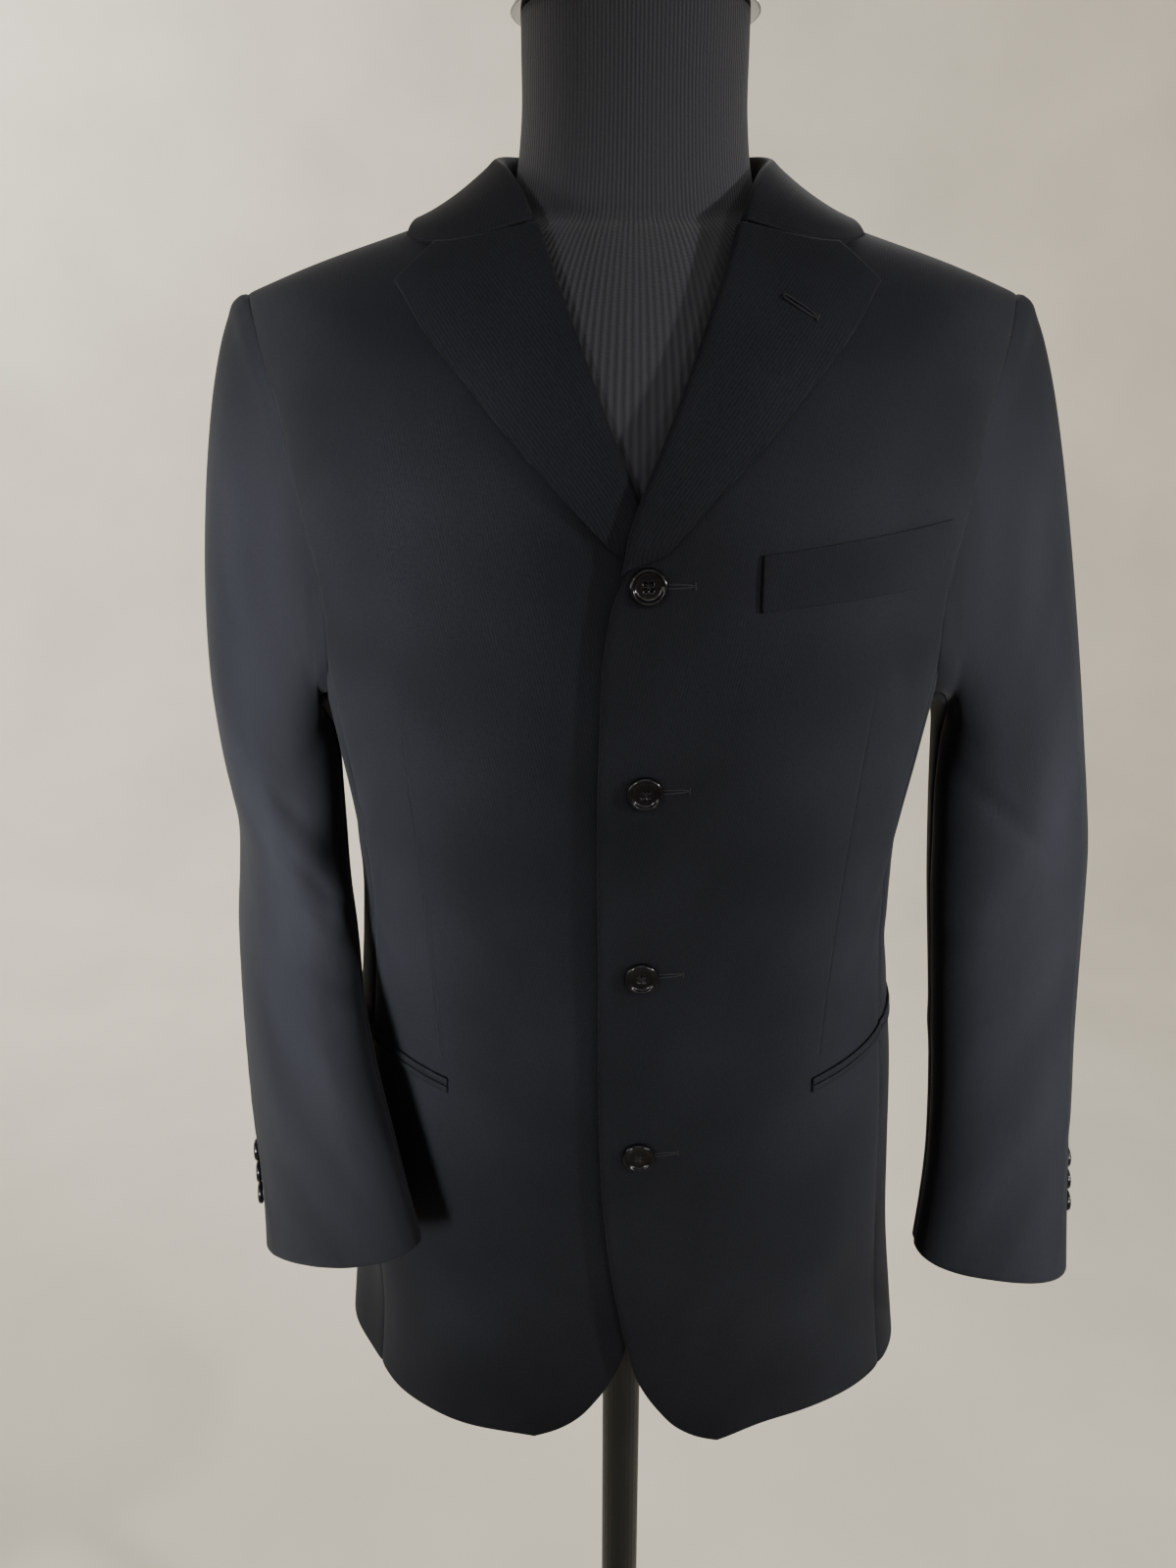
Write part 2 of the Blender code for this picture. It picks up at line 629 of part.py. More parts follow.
def lapel(side):
    """A lapel: a roll round the front's edge, and the leaf that lies outside.

    Columns inside the roll are turned about the roll line; the rest run to the outer edge with a
    lift that grows towards it. The last row is the gorge up to the notch and the lapel's top edge.
    """
    start = LAPEL_START[side]
    along = np.linspace(0, 1, LAPEL_ROWS)
    roll_level = blend(start, GORGE_LEVEL, along)
    roll_x = through(FRONT_EDGE, 1, roll_level)
    edge_level = blend(start, LAPEL_EDGE[-1, 0], along)
    edge_x = through(LAPEL_EDGE, 1, edge_level)
    share = np.array(LAPEL_SHARES)
    leaf_x = blend(roll_x[:, None], edge_x[:, None], share)
    leaf_level = blend(roll_level[:, None], edge_level[:, None], share)
    gorge = gorge_level(leaf_x[-1]) - leaf_level[-1]
    notch = np.interp(NOTCH_SHARE, share, gorge)
    bump = np.where(share <= NOTCH_SHARE, gorge, notch * (1 - share) / (1 - NOTCH_SHARE))
    leaf_level = leaf_level + bump * along[:, None] ** 3
    spread = ease(along * LAPEL_SPREAD[0])[:, None] * ease(share * LAPEL_SPREAD[1])
    leaf_lift = blend(LAPEL_LIFT, LAPEL_EDGE_LIFT, spread)
    turns = np.radians(ROLL_TURNS)
    grids = []
    for radius, depth in ((ROLL_RADIUS, 0.0), (ROLL_RADIUS - WALL, WALL)):
        roll = roll_x[:, None] - radius * np.cos(turns)
        roll_lift = -WALL / 2 + radius * np.sin(turns) + 0 * roll
        x = np.concatenate([roll, leaf_x], axis=1)
        lift = np.concatenate([roll_lift, leaf_lift - depth], axis=1)
        rest = np.repeat(roll_level[:, None], len(turns), axis=1)
        level = np.concatenate([rest, leaf_level], axis=1)
        lift = lift + lap(x, level, side)
        grids.append(lifted(azimuth_at(x, level), level, lift, side))
    outer, inner = inset(*grids, columns=False, gap=GORGE_GAP)
    return wall(f"lapel_{side}", outer, inner)


def gorge_level(x):
    """Level of the seam between lapel and collar at x: flat, then rising to the collar's corner."""
    base_x, base_angle, edge_x, edge_angle = COLLAR[0, 1:5]
    share = np.clip((x - base_x) / (edge_x - base_x), 0, 1)
    angle = base_angle + (edge_angle - base_angle) * share**GORGE_SAG
    return DOME_START + (RIDGE_LEVEL - DOME_START) * angle / 90


def upper_point(x, angle):
    """Point and normal of the yoke: the angle runs over the ridge, 0 front and 180 back."""
    behind = angle > 90
    reach = np.where(behind, 180 - angle, angle) / 90
    level = DOME_START + (RIDGE_LEVEL - DOME_START) * reach
    front_azimuth = azimuth_at(x, level)
    back_azimuth = azimuth_at(x, level, back=True)
    azimuth = np.where(behind, back_azimuth, front_azimuth)
    return body(azimuth, level), body_normal(azimuth, level)


def collar():
    """The collar: the stand rises inside the neckline, folds over and falls on to the shoulders."""
    share = np.linspace(0, 1, COLLAR_ROWS) ** COLLAR_CROWDING
    base_x, base_angle, edge_x, edge_angle, stand = (
        through(COLLAR, column, share)[:, None] for column in range(1, 6)
    )
    base, normal = upper_point(base_x, base_angle)
    neckward = unit(-base * np.array([1.0, 1.0, 0.0]))
    up = np.array([0.0, 0.0, 1.0])
    ridge = stand[..., None]
    columns = [
        base - neckward * out * NECKWARD + normal * rise + up * ridge * tall
        for out, rise, tall in COLLAR_STAND
    ]
    fall = np.array(FALL_SHARES)
    power = blend(GORGE_SAG, 1.0, ease(share / SAG_ENDS))[:, None]
    x = blend(base_x, edge_x, fall)
    angle = base_angle + (edge_angle - base_angle) * fall**power
    points, normals = upper_point(x, angle)
    drop = stand * (1 - fall) ** FALL_DROP
    leaf = points + normals * COLLAR_LIFT + up * drop[..., None]
    middle = np.concatenate(columns + [leaf], axis=1)
    half = middle[::-1] * np.array([-1.0, 1.0, 1.0])
    middle = np.concatenate([middle, half[1:]])
    along = np.gradient(middle, axis=0)
    across = np.gradient(middle, axis=1)
    facing = unit(np.cross(across, along))
    outer = middle + facing * WALL / 2
    inner = middle - facing * WALL / 2
    inset(outer, inner, columns=False, gap=GORGE_GAP)
    return wall("collar", outer, inner)


def armhole_ring(side):
    """Points of the armhole in the panels' own order, and the body's normals there.

    From the shoulder tip down the front's edge, along the underarm and up the back's edge.
    """
    down = np.array(ARM_LEVELS[::-1])
    under = body_levels()
    share = np.linspace(0, 1, SIDE_COLUMNS)[1:-1]
    foot = blend(
        through(FRONT_SEAM, 1, under[-1]), through(BACK_SEAM, 1, under[-1]), share
    )
    up = np.array(ARM_LEVELS[:-1])
    degrees = np.concatenate([through(ARM_FRONT, 1, down), foot, through(ARM_BACK, 1, up)])
    level = np.concatenate([down, through(UNDERARM, 1, foot), up])
    sign = 1.0 if side == "left" else -1.0
    azimuth = np.radians(degrees) * sign
    mirror = np.array([sign, 1.0, 1.0])
    return body(azimuth, level) * mirror, body_normal(azimuth, level) * mirror


def crease(side, turn, height):
    """Sum of the sleeve's soft creases: bells round the tube and along it, slanting."""
    total = np.zeros(np.broadcast(turn, height).shape)
    for middle, at, wide, tall, depth, slant in CREASES[side]:
        around = (np.degrees(turn) - middle + 180) % 360 - 180
        along = (height - at - slant * around) / tall
        total = total + depth * np.exp(-((around / wide) ** 2) - along**2)
    return total


def sleeve_ring(side, height, turn):
    """Point of the hanging sleeve: an oval whose sizes, place and turn come from SLEEVES."""
    out, behind, across, deep, swing = (
        through(SLEEVES[side][::-1], column, height) for column in range(1, 6)
    )
    swing = np.radians(swing)
    fold = crease(side, turn, height)
    lower, upper = SLEEVE_SQUARE[side]
    square = blend(lower, upper, ease((height - SQUARE_FROM) / SQUARE_OVER))
    square = np.where(np.sin(turn) > 0, square, 2.0)
    flat = (np.abs(np.cos(turn)) ** square + np.abs(np.sin(turn)) ** square) ** (-1 / square)
    sideways = (across + fold) * np.cos(turn) * flat
    forward = (deep + fold) * np.sin(turn) * flat
    x = out + np.cos(swing) * sideways - np.sin(swing) * forward
    y = behind - np.sin(swing) * sideways - np.cos(swing) * forward
    foot = SLEEVES[side][-1, 0]
    near_cuff = 1 - ease((height - foot) / CUFF_REACH)
    z = height - near_cuff * (CUFF_RISE[side] * (y - behind) + CUFF_DROP[side] * (x - out))
    return np.stack([x, y, z], axis=-1)


def sleeve_grid(side):
    """Outer points and normals of a whole sleeve, rows from the armhole to the cuff.

    The head is a set of cubic arcs that leave the armhole square to it and come down on to the
    first ring; the rest are rings read down to the cuff, turning a little on the way.
    """
    start, normal = armhole_ring(side)
    loop = unit(np.roll(start, -1, axis=0) - np.roll(start, 1, axis=0))
    away = unit(np.cross(normal, loop))
    outwards_and_up = np.array([1.0, 0.0, 0.3])
    away *= np.where(away @ outwards_and_up < 0, -1.0, 1.0)[:, None]
    middle_y, middle_z = ARMHOLE_MIDDLE
    turn = np.arctan2(middle_y - start[:, 1], start[:, 2] - middle_z)
    under_from, under_over = np.radians(UNDERARM_TURNS)
    under = ease((np.abs(turn) - under_from) / under_over)
    rope = ROPE_RISE * np.clip(np.cos(turn), 0, 1)
    leave = away * (1 - under)[:, None] + normal * (under + rope)[:, None]
    leave = unit(leave)
    even = np.arange(len(turn)) * 2 * math.pi / len(turn)
    even = np.where(even > math.radians(LAST_TURN), even - 2 * math.pi, even)
    turned_on = np.where(turn - even > math.pi, turn - 2 * math.pi, turn)
    turned_on = np.where(turned_on - even < -math.pi, turned_on + 2 * math.pi, turned_on)
    turn = blend(turned_on, even, SLEEVE_EVENNESS)
    first = SLEEVES[side][0, 0]
    landing = sleeve_ring(side, np.full(turn.shape, first), turn)
    below = sleeve_ring(side, np.full(turn.shape, first - LANDING_STEP), turn)
    down = unit(below - landing)
    reach = np.linalg.norm(landing - start, axis=1)
    out_pull = (reach * blend(CAP_PULL, UNDERARM_PULL, under))[:, None]
    down_pull = (LANDING_PULL * reach)[:, None]
    rows = []
    for t in CAP_STEPS:
        rows.append(
            (2 * t**3 - 3 * t**2 + 1) * start
            + (t**3 - 2 * t**2 + t) * leave * out_pull
            + (3 * t**2 - 2 * t**3) * landing
            + (t**3 - t**2) * down * down_pull
        )
    foot = SLEEVES[side][-1, 0]
    for step in np.linspace(0, 1, CUFF_STEPS + 1)[1:]:
        height = blend(first, foot, step)
        twisted = turn + math.radians(SLEEVE_TWIST[side]) * ease(step)
        rows.append(sleeve_ring(side, np.full(turn.shape, height), twisted))
    grid = np.stack(rows)
    along = np.gradient(grid, axis=0)
    along[0] = leave
    around = np.roll(grid, -1, axis=1) - np.roll(grid, 1, axis=1)
    facing = unit(np.cross(along, around))
    middle = grid.mean(axis=1, keepdims=True)
    outwards = np.sum(facing[-1] * (grid[-1] - middle[-1]))
    facing *= math.copysign(1.0, outwards)
    return grid, facing


def sleeve(side):
    """The top and under sleeve, split at the elbow seam and the forearm seam."""
    grid, facing = sleeve_grid(side)
    count = grid.shape[1]
    elbow = count + ELBOW_SEAM
    spans = {
        "top": np.arange(elbow, count + FOREARM_SEAM + 1) % count,
        "under": np.arange(FOREARM_SEAM, elbow + 1),
    }
    made = []
    for part, span in spans.items():
        outer = mirrored(grid[:, span], side)
        inner = mirrored(grid[:, span] - facing[:, span] * WALL, side)
        inset(outer, inner)
        made.append(wall(f"sleeve_{part}_{side}", outer, inner))
    return made


def strip_on_front(name, x, level, lift, thick, side):
    """A thin strip on a front: the same points at two lifts."""
    on_panel = lap(x, level, side)
    azimuth = azimuth_at(x, level)
    outer = lifted(azimuth, level, on_panel + lift + thick, side)
    inner = lifted(azimuth, level, on_panel + lift, side)
    return wall(name, outer, inner)


def chest_welt():
    """The chest pocket's welt, slanting up outwards, its lower edge turned up at the outer end."""
    rows = np.linspace(0, 1, WELT_GRID[0])[:, None]
    share = np.linspace(0, 1, WELT_GRID[1])
    top = blend(*WELT_TOP, share)
    turned_up = WELT_TURN_UP * ease((share - WELT_TURN_START) / (1 - WELT_TURN_START))
    bottom = blend(*WELT_BOTTOM, share) + turned_up
    x = blend(*WELT_X, share)[None] + WELT_SLANT * (rows - 1) * share[None] ** 3
    level = level_at(x, blend(bottom[None], top[None], rows))
    return strip_on_front("chest_welt", x, level, WELT_LIFT, WELT_THICK, "left")


def hip_jets(side):
    """Two narrow jets above and below the mouth of a slanted hip pocket."""
    start = azimuth_at(np.array(JET_X), np.array(JET_HEIGHT))
    radius = BODY[JET_BODY_ROW, 1:3].mean()
    azimuth = start + np.linspace(0, JET_LENGTH, JET_POINTS) / radius
    mouth = JET_HEIGHT + JET_SLANT * (azimuth - start) * radius
    for place, shift in (("upper", SEAM_GAP), ("lower", -SEAM_GAP - JET_WIDTH)):
        low = mouth + shift
        level = np.stack([low, low + JET_WIDTH])
        around = np.stack([azimuth, azimuth])
        outer = lifted(around, level, JET_LIFT + JET_THICK + 0 * level, side)
        inner = lifted(around, level, JET_LIFT + 0 * level, side)
        wall(f"jet_{place}_{side}", outer, inner)


def turned(name, profile, sides, kind):
    """A solid of revolution about Z: an open profile, outer side downwards, with a Screw."""
    mesh = bpy.data.meshes.new(name)
    points = [(radius, 0.0, height) for radius, height in profile]
    edges = [(i, i + 1) for i in range(len(points) - 1)]
    mesh.from_pydata(points, edges, [])
    thing = add_object(name, mesh, kind)
    spin = thing.modifiers.new("Turn", "SCREW")
    spin.steps = sides
    spin.render_steps = sides
    spin.use_merge_vertices = True
    spin.merge_threshold = 0.00001
    spin.use_smooth_shade = True
    return thing


def button(name, size, point, normal):
    """A button: a raised rounded rim round a sunk middle, lying a gap off the cloth."""
    radius, height = size
    profile = [(radius * out, height * up) for out, up in BUTTON_PROFILE]
    thing = turned(name, profile, BUTTON_SIDES, "button_resin")
    thing.location = Vector(point) + Vector(normal) * SEAM_GAP
    thing.rotation_mode = "QUATERNION"
    thing.rotation_quaternion = Vector(normal).to_track_quat("Z", "Y")
    return thing


def front_buttons():
    """Four buttons down the left front, near the centre line."""
    for number, height in enumerate(BUTTON_LEVELS, start=1):
        level = np.array(height)
        x = np.array(BUTTON_X)
        azimuth = azimuth_at(x, level)
        point = lifted(azimuth, level, lap(x, level, "left"), "left")
        button(f"button_{number}", FRONT_BUTTON, point, body_normal(azimuth, level))


def cuff_buttons(side):
    """Three touching buttons on the top sleeve, just in front of the elbow seam."""
    grid, facing = sleeve_grid(side)
    strip = grid[::-1, [ELBOW_SEAM + 1, ELBOW_SEAM + 2]]
    middle = strip.mean(axis=1)
    run = np.concatenate([[0.0], np.cumsum(np.linalg.norm(np.diff(middle, axis=0), axis=1))])
    for number in range(3):
        at = CUFF_BUTTON_FIRST + CUFF_BUTTON_STEP * number
        row = np.searchsorted(run, at) - 1
        share = (at - run[row]) / (run[row + 1] - run[row])
        point = blend(middle[row], middle[row + 1], share)
        across = strip[row, 1] - strip[row, 0]
        normal = unit(np.cross(across, middle[row + 1] - middle[row]))
        normal = normal * math.copysign(1.0, normal[0])
        button(
            f"cuff_button_{side}_{number + 1}", CUFF_BUTTON,
            mirrored(point + normal * CUFF_BUTTON_LIFT, side), mirrored(normal, side),
        )


def form_depths():
    """Front and back depth of the dress form where its shoulders begin."""
    clearance = through(FORM_CLEARANCE, 1, DOME_START)
    return BODY[FORM_DOME_ROW, 2] - clearance, BODY[FORM_DOME_ROW, 3] - clearance


def form_ring(level, azimuth):
    """A ring of the dress form below the dome: the body's ring less the clearance."""
    radius = ring_radius(azimuth, level) - through(FORM_CLEARANCE, 1, level)
    return radius * np.sin(azimuth), -radius * np.cos(azimuth)


def form_height(x, y):
    """Height of the form's shoulders over a point of its plan, just under the cloth's ridge."""
    front_depth, back_depth = form_depths()
    share = np.clip(np.abs(x) / FORM_SHOULDER, 0, 1)
    plan = (1 - share**SQUARENESS) ** (1 / SQUARENESS)
    front_reach = front_depth * plan + SEAM_Y
    back_reach = back_depth * plan - SEAM_Y
    reach = np.where(y < SEAM_Y, front_reach, back_reach)
    away = np.clip(np.abs(y - SEAM_Y) / np.maximum(reach, 1e-6), 0, 1)
    arm_round = (1 - share**FORM_SHOULDER_POWER) ** (1 / FORM_SHOULDER_POWER)
    top = ridge_height(x) - FORM_SEAT - DOME_START
    drop = np.where(y < SEAM_Y, *FORM_DROP) * np.sin(math.pi * away)
    return DOME_START + top * np.sqrt(1 - away**2) * arm_round - drop


def form_torso():
    """The limbless form in one closed skin: hip to chest, shoulders, neck and its flat top."""
    azimuth = np.linspace(0, 2 * math.pi, FORM_SIDES, endpoint=False)
    wrapped = (azimuth + math.pi) % (2 * math.pi) - math.pi
    rings = []
    shares = [FORM_FOOT, FORM_FOOT_ROUND] + [1.0] * (len(FORM_LEVELS) - 1)
    for level, share in zip((FORM_BOTTOM, *FORM_LEVELS), shares):
        x, y = form_ring(np.full(azimuth.shape, level), wrapped)
        rings.append(np.stack([x * share, y * share, np.full(azimuth.shape, level)], -1))
    depth = np.where(np.cos(wrapped) > 0, *form_depths())
    rim = (
        np.abs(np.sin(wrapped) / FORM_SHOULDER) ** SQUARENESS
        + np.abs(np.cos(wrapped) / depth) ** SQUARENESS
    ) ** (-1 / SQUARENESS)
    for spread in FORM_SPREADS:
        x = blend(NECK_BASE[0], rim, spread) * np.sin(wrapped)
        y = -blend(NECK_BASE[1], rim, spread) * np.cos(wrapped)
        rings.append(np.stack([x, y, form_height(x, y)], -1))
    base = rings[-1]
    neck_x = NECK_HALF_WIDTH * np.sin(wrapped)
    neck_y = -NECK_HALF_DEPTH * np.cos(wrapped)
    flare = np.stack(
        [neck_x * NECK_FLARE, neck_y * NECK_FLARE, base[:, 2] + NECK_CORNER_RISE], -1
    )
    straight = np.stack([neck_x, neck_y, np.full(azimuth.shape, NECK_LEVELS[0])], -1)
    for t in NECK_STEPS:
        rings.append((1 - t) ** 2 * base + 2 * t * (1 - t) * flare + t**2 * straight)
    for height in NECK_LEVELS[1:]:
        rings.append(np.stack([neck_x, neck_y, np.full(azimuth.shape, height)], -1))
    skin = np.stack(rings)
    rows, columns = skin.shape[:2]
    number = np.arange(rows * columns).reshape(rows, columns)
    side_by_side = np.roll(number, -1, axis=1)
    quads = np.stack([number[:-1], side_by_side[:-1], side_by_side[1:], number[1:]], -1)
    faces = quads.reshape(-1, 4).tolist() + [number[0][::-1].tolist(), number[-1].tolist()]
    mesh = bpy.data.meshes.new("form_torso")
    mesh.from_pydata(skin.reshape(-1, 3).tolist(), [], faces)
    face_outwards(mesh)
    return add_object("form_torso", mesh, "jersey")


def form_cap():
    """The glossy cap on the neck: a shallow dome over a rounded flange."""
    foot = NECK_LEVELS[-1] + SEAM_GAP
    profile = [(CAP_RADIUS * out, foot + CAP_HEIGHT * up) for out, up in CAP_PROFILE]
    return turned("form_cap", profile, CAP_SIDES, "gloss_cap")


def stand():
    """The pole between the base and the form, and the flat round base with a rounded edge."""
    length = FORM_BOTTOM - BASE_HEIGHT - 2 * SEAM_GAP
    bpy.ops.mesh.primitive_cylinder_add(
        vertices=POLE_SIDES, radius=POLE_RADIUS, depth=length,
        location=(0.0, 0.0, BASE_HEIGHT + SEAM_GAP + length / 2),
    )
    pole = bpy.context.active_object
    pole.name = "stand_pole"
    pole.data.materials.append(node_material("stand_pole", "painted_steel"))
    bpy.ops.object.shade_smooth()
    pole.data.set_sharp_from_angle(angle=math.radians(SMOOTH_ANGLE))
    for holder in pole.users_collection:
        holder.objects.unlink(pole)
    bpy.data.collections["blazer_on_dress_form"].objects.link(pole)
    flat_in, round_in, round_down, edge_down = BASE_ROUND
    profile = [
        (0.0, BASE_HEIGHT), (BASE_RADIUS - flat_in, BASE_HEIGHT),
        (BASE_RADIUS - round_in, BASE_HEIGHT - round_down), (BASE_RADIUS, BASE_HEIGHT - edge_down),
        (BASE_RADIUS, 0.0), (0.0, 0.0),
    ]
    turned("stand_base", profile, BASE_SIDES, "painted_steel")


def clear_scene():
    """Removes whatever the file holds and makes the part's collection."""
    for thing in list(bpy.data.objects):
        bpy.data.objects.remove(thing, do_unlink=True)
    home = bpy.data.collections.new("blazer_on_dress_form")
    bpy.context.scene.collection.children.link(home)


def main():
    """Builds every piece of the blazer and of the form it rests on."""
    clear_scene()
    for side in ("left", "right"):
        front(side)
        side_body(side)
        back(side)
        lapel(side)
        sleeve(side)
        hip_jets(side)
        cuff_buttons(side)
    collar()
    chest_welt()
    front_buttons()
    form_torso()
    form_cap()
    stand()


main()
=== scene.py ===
"""A blazer in fine dark worsted on a limbless dress form: cloth, buttons, form, floor and light.

Metres, +Z up, the front facing -Y and the wearer's left at +X. The cloth is cut from the same body
surface as the solids: an azimuth runs round the figure and a level runs from the hem up to the
shoulder seam, and above DOME_START a level is an angle that closes the chest and the back over to
the shoulder ridge. Each panel is a grid on that surface with its seams, dart and creases pressed in.
"""

import math

import bpy
import numpy as np
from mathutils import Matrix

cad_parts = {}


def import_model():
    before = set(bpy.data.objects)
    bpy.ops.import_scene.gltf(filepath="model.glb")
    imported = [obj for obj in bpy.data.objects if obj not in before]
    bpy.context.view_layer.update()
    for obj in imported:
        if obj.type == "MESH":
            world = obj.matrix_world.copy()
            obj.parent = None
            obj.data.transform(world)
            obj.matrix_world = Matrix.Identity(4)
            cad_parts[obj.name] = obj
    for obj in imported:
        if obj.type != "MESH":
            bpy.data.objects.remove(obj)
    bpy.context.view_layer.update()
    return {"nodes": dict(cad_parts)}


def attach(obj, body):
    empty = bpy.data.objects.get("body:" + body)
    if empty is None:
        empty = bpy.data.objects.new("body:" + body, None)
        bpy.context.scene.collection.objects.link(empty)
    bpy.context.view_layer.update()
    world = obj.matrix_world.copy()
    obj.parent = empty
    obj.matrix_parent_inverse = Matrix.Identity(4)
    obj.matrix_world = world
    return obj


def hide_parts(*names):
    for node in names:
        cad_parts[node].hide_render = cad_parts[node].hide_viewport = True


# Cloth: thickness of a dressed wall and of a solid one, then the gaps where pieces meet: at
# buttons, cap and jets, along sewn seams, and along lapels and collar
CLOTH = 0.0018
WALL = 0.002
SEAM_GAP = 0.0003
SEWN_GAP = 0.00012
GORGE_GAP = 0.0005

# Shares of the thickness: how far a wall's edges move in, and how far its rounded rim stands out
RIM_INSET = 0.33
RIM_SWELL = 0.36

# Step for the body surface's normals, and the side that each name lies on
NUDGE = 0.0001
SIGN = {"left": 1.0, "right": -1.0}

# Body surface, all round: level, half width, front depth, back depth, squareness of the oval
BODY = np.array([
    [0.690, 0.2085, 0.1235, 0.1370, 1.88],
    [0.740, 0.2030, 0.1225, 0.1385, 1.92],
    [0.800, 0.1965, 0.1250, 0.1400, 2.00],
    [0.870, 0.1920, 0.1275, 0.1410, 2.08],
    [0.950, 0.1865, 0.1305, 0.1370, 2.16],
    [1.000, 0.1805, 0.1315, 0.1310, 2.20],
    [1.050, 0.1765, 0.1330, 0.1270, 2.24],
    [1.100, 0.1755, 0.1375, 0.1300, 2.26],
    [1.170, 0.1850, 0.1450, 0.1430, 2.28],
    [1.240, 0.1970, 0.1490, 0.1540, 2.30],
    [1.300, 0.2080, 0.1465, 0.1590, 2.30],
    [1.345, 0.2150, 0.1450, 0.1590, 2.30],
    [1.385, 0.2265, 0.1450, 0.1590, 2.30],
    [1.450, 0.2370, 0.1450, 0.1590, 2.30],
])
SQUARENESS = 2.3
DOME_START = 1.300
RIDGE_LEVEL = 1.450
SEAM_Y = 0.008
TIP_HEIGHT = 1.4307
TIP_X = 0.2307
SHOULDER_SLOPE = 0.355
NECK_ROUNDING = 0.030
SHOULDER_SWELL = (0.185, 0.045, 0.0018)
HEM = 0.703
HEM_DROP = {"left": 0.0090, "right": 0.0035}
ARM_SEAM_LEVEL = 1.225

# The hem's wave: height and phase; its drop in front: azimuth and width in radians; their fade
HEM_WAVE = (0.005, 0.6)
HEM_DIP = (0.36, 0.36)
HEM_FADE = 0.12

# Radii that turn an azimuth into a length on the cloth: all round, and at the flanks
GIRTH_RADIUS = 0.17
FLANK_RADIUS = 0.19

# Soft drapes of the body cloth: azimuth, middle level, half height, half width, depth, lean
DRAPES = (
    (52, 0.80, 0.13, 9, 0.0030, 20),
    (-50, 0.82, 0.14, 10, 0.0026, -24),
    (96, 0.78, 0.13, 11, -0.0010, -10),
    (-80, 0.71, 0.10, 12, -0.0120, 0),
    (-106, 0.72, 0.11, 14, 0.0110, 0),
    (-46, 0.71, 0.08, 14, 0.0040, 0),
    (47, 0.71, 0.09, 14, -0.0045, 0),
    (80, 0.93, 0.22, 18, -0.0030, 0),
    (136, 0.80, 0.15, 12, 0.0040, -16),
    (-140, 0.79, 0.16, 11, 0.0044, 12),
    (124, 1.22, 0.11, 8, 0.0042, 26),
    (-121, 1.21, 0.12, 9, 0.0038, -30),
    (63, 1.17, 0.09, 7, 0.0024, -34),
    (-61, 1.16, 0.10, 7, 0.0028, 30),
    (166, 1.00, 0.10, 9, -0.0026, 10),
    (-167, 1.02, 0.11, 9, -0.0024, -8),
)

# Smaller creases in the body cloth: azimuth, level, half length along, half width, depth, tilt
# The half length runs along the crease and the half width across it, in metres; the tilt is in
# degrees from upright, towards the wearer's left.
BODY_CREASES = (
    (30, 1.085, 0.050, 0.010, -0.0007, 62),
    (36, 1.045, 0.045, 0.009, 0.0006, 68),
    (-34, 1.070, 0.048, 0.010, -0.0008, -60),
    (-40, 1.030, 0.040, 0.008, 0.0006, -66),
    (66, 1.080, 0.060, 0.010, -0.0011, 34),
    (-66, 1.060, 0.055, 0.011, -0.0010, -38),
    (60, 1.190, 0.060, 0.010, -0.0012, -22),
    (-60, 1.180, 0.066, 0.011, -0.0012, 24),
    (92, 1.110, 0.050, 0.010, 0.0010, 52),
    (-90, 1.120, 0.046, 0.009, 0.0011, -56),
    (88, 1.020, 0.060, 0.012, -0.0012, -58),
    (-94, 1.040, 0.052, 0.011, -0.0012, 48),
    (118, 1.150, 0.080, 0.013, -0.0016, 16),
    (-116, 1.140, 0.088, 0.012, -0.0017, -14),
    (146, 1.055, 0.070, 0.012, -0.0012, 66),
    (-150, 1.070, 0.064, 0.011, -0.0013, -62),
    (158, 1.330, 0.070, 0.014, -0.0011, 76),
    (-152, 1.310, 0.060, 0.012, -0.0010, -72),
    (20, 0.850, 0.110, 0.014, 0.0007, 6),
    (-24, 0.840, 0.100, 0.015, 0.0007, -8),
)

# The front edge, its cutaway, the roll line and the neckline: level, distance past the centre
FRONT_EDGE = np.array([
    [0.7030, 0.0620],
    [0.7100, 0.0490],
    [0.7200, 0.0350],
    [0.7370, 0.0200],
    [0.7600, 0.0065],
    [0.7900, -0.0015],
    [0.8400, -0.0105],
    [0.9000, -0.0168],
    [0.9600, -0.0195],
    [1.0500, -0.0200],
    [1.2000, -0.0200],
    [1.2500, -0.0175],
    [1.2800, -0.0115],
    [1.3057, -0.0004],
    [1.3332, 0.0217],
    [1.3822, 0.0505],
    [1.3950, 0.0555],
    [1.4200, 0.0665],
    [1.4467, 0.0775],
    [1.4500, 0.0785],
])
GORGE_LEVEL = 1.3950
NOTCH_SHARE = 0.70

# The lapel's outer edge: level, distance from the centre
LAPEL_EDGE = np.array([
    [1.2900, -0.0060],
    [1.2980, 0.0100],
    [1.3107, 0.0350],
    [1.3245, 0.0595],
    [1.3420, 0.0845],
    [1.3577, 0.1040],
    [1.3845, 0.1260],
])
LAPEL_START = {"left": 1.2890, "right": 1.2920}
LAPEL_LIFT = 0.0034
LAPEL_EDGE_LIFT = 0.0060
LIFT_GROWTH = (2.2, 1.3)
LEAF_START = 0.05
TOP_EDGE_POWER = 3
ROLL_RADIUS = 0.0040
ROLL_ROOM = 0.0012
ROLL_FROM = 1.27
ROLL_FADE = 0.02
ROLL_TURNS = (-42, 90)
ROLL_STEPS = 14

# The lapel's foot, flatter and narrower than the rest: share of the lift and of the width that
# is left at the start, and the share of the length over which each grows to the full size
FOOT_SINK = 0.15
FOOT_LENGTH = 0.14
FOOT_WIDTH = 0.12
FOOT_WIDTH_LENGTH = 0.07

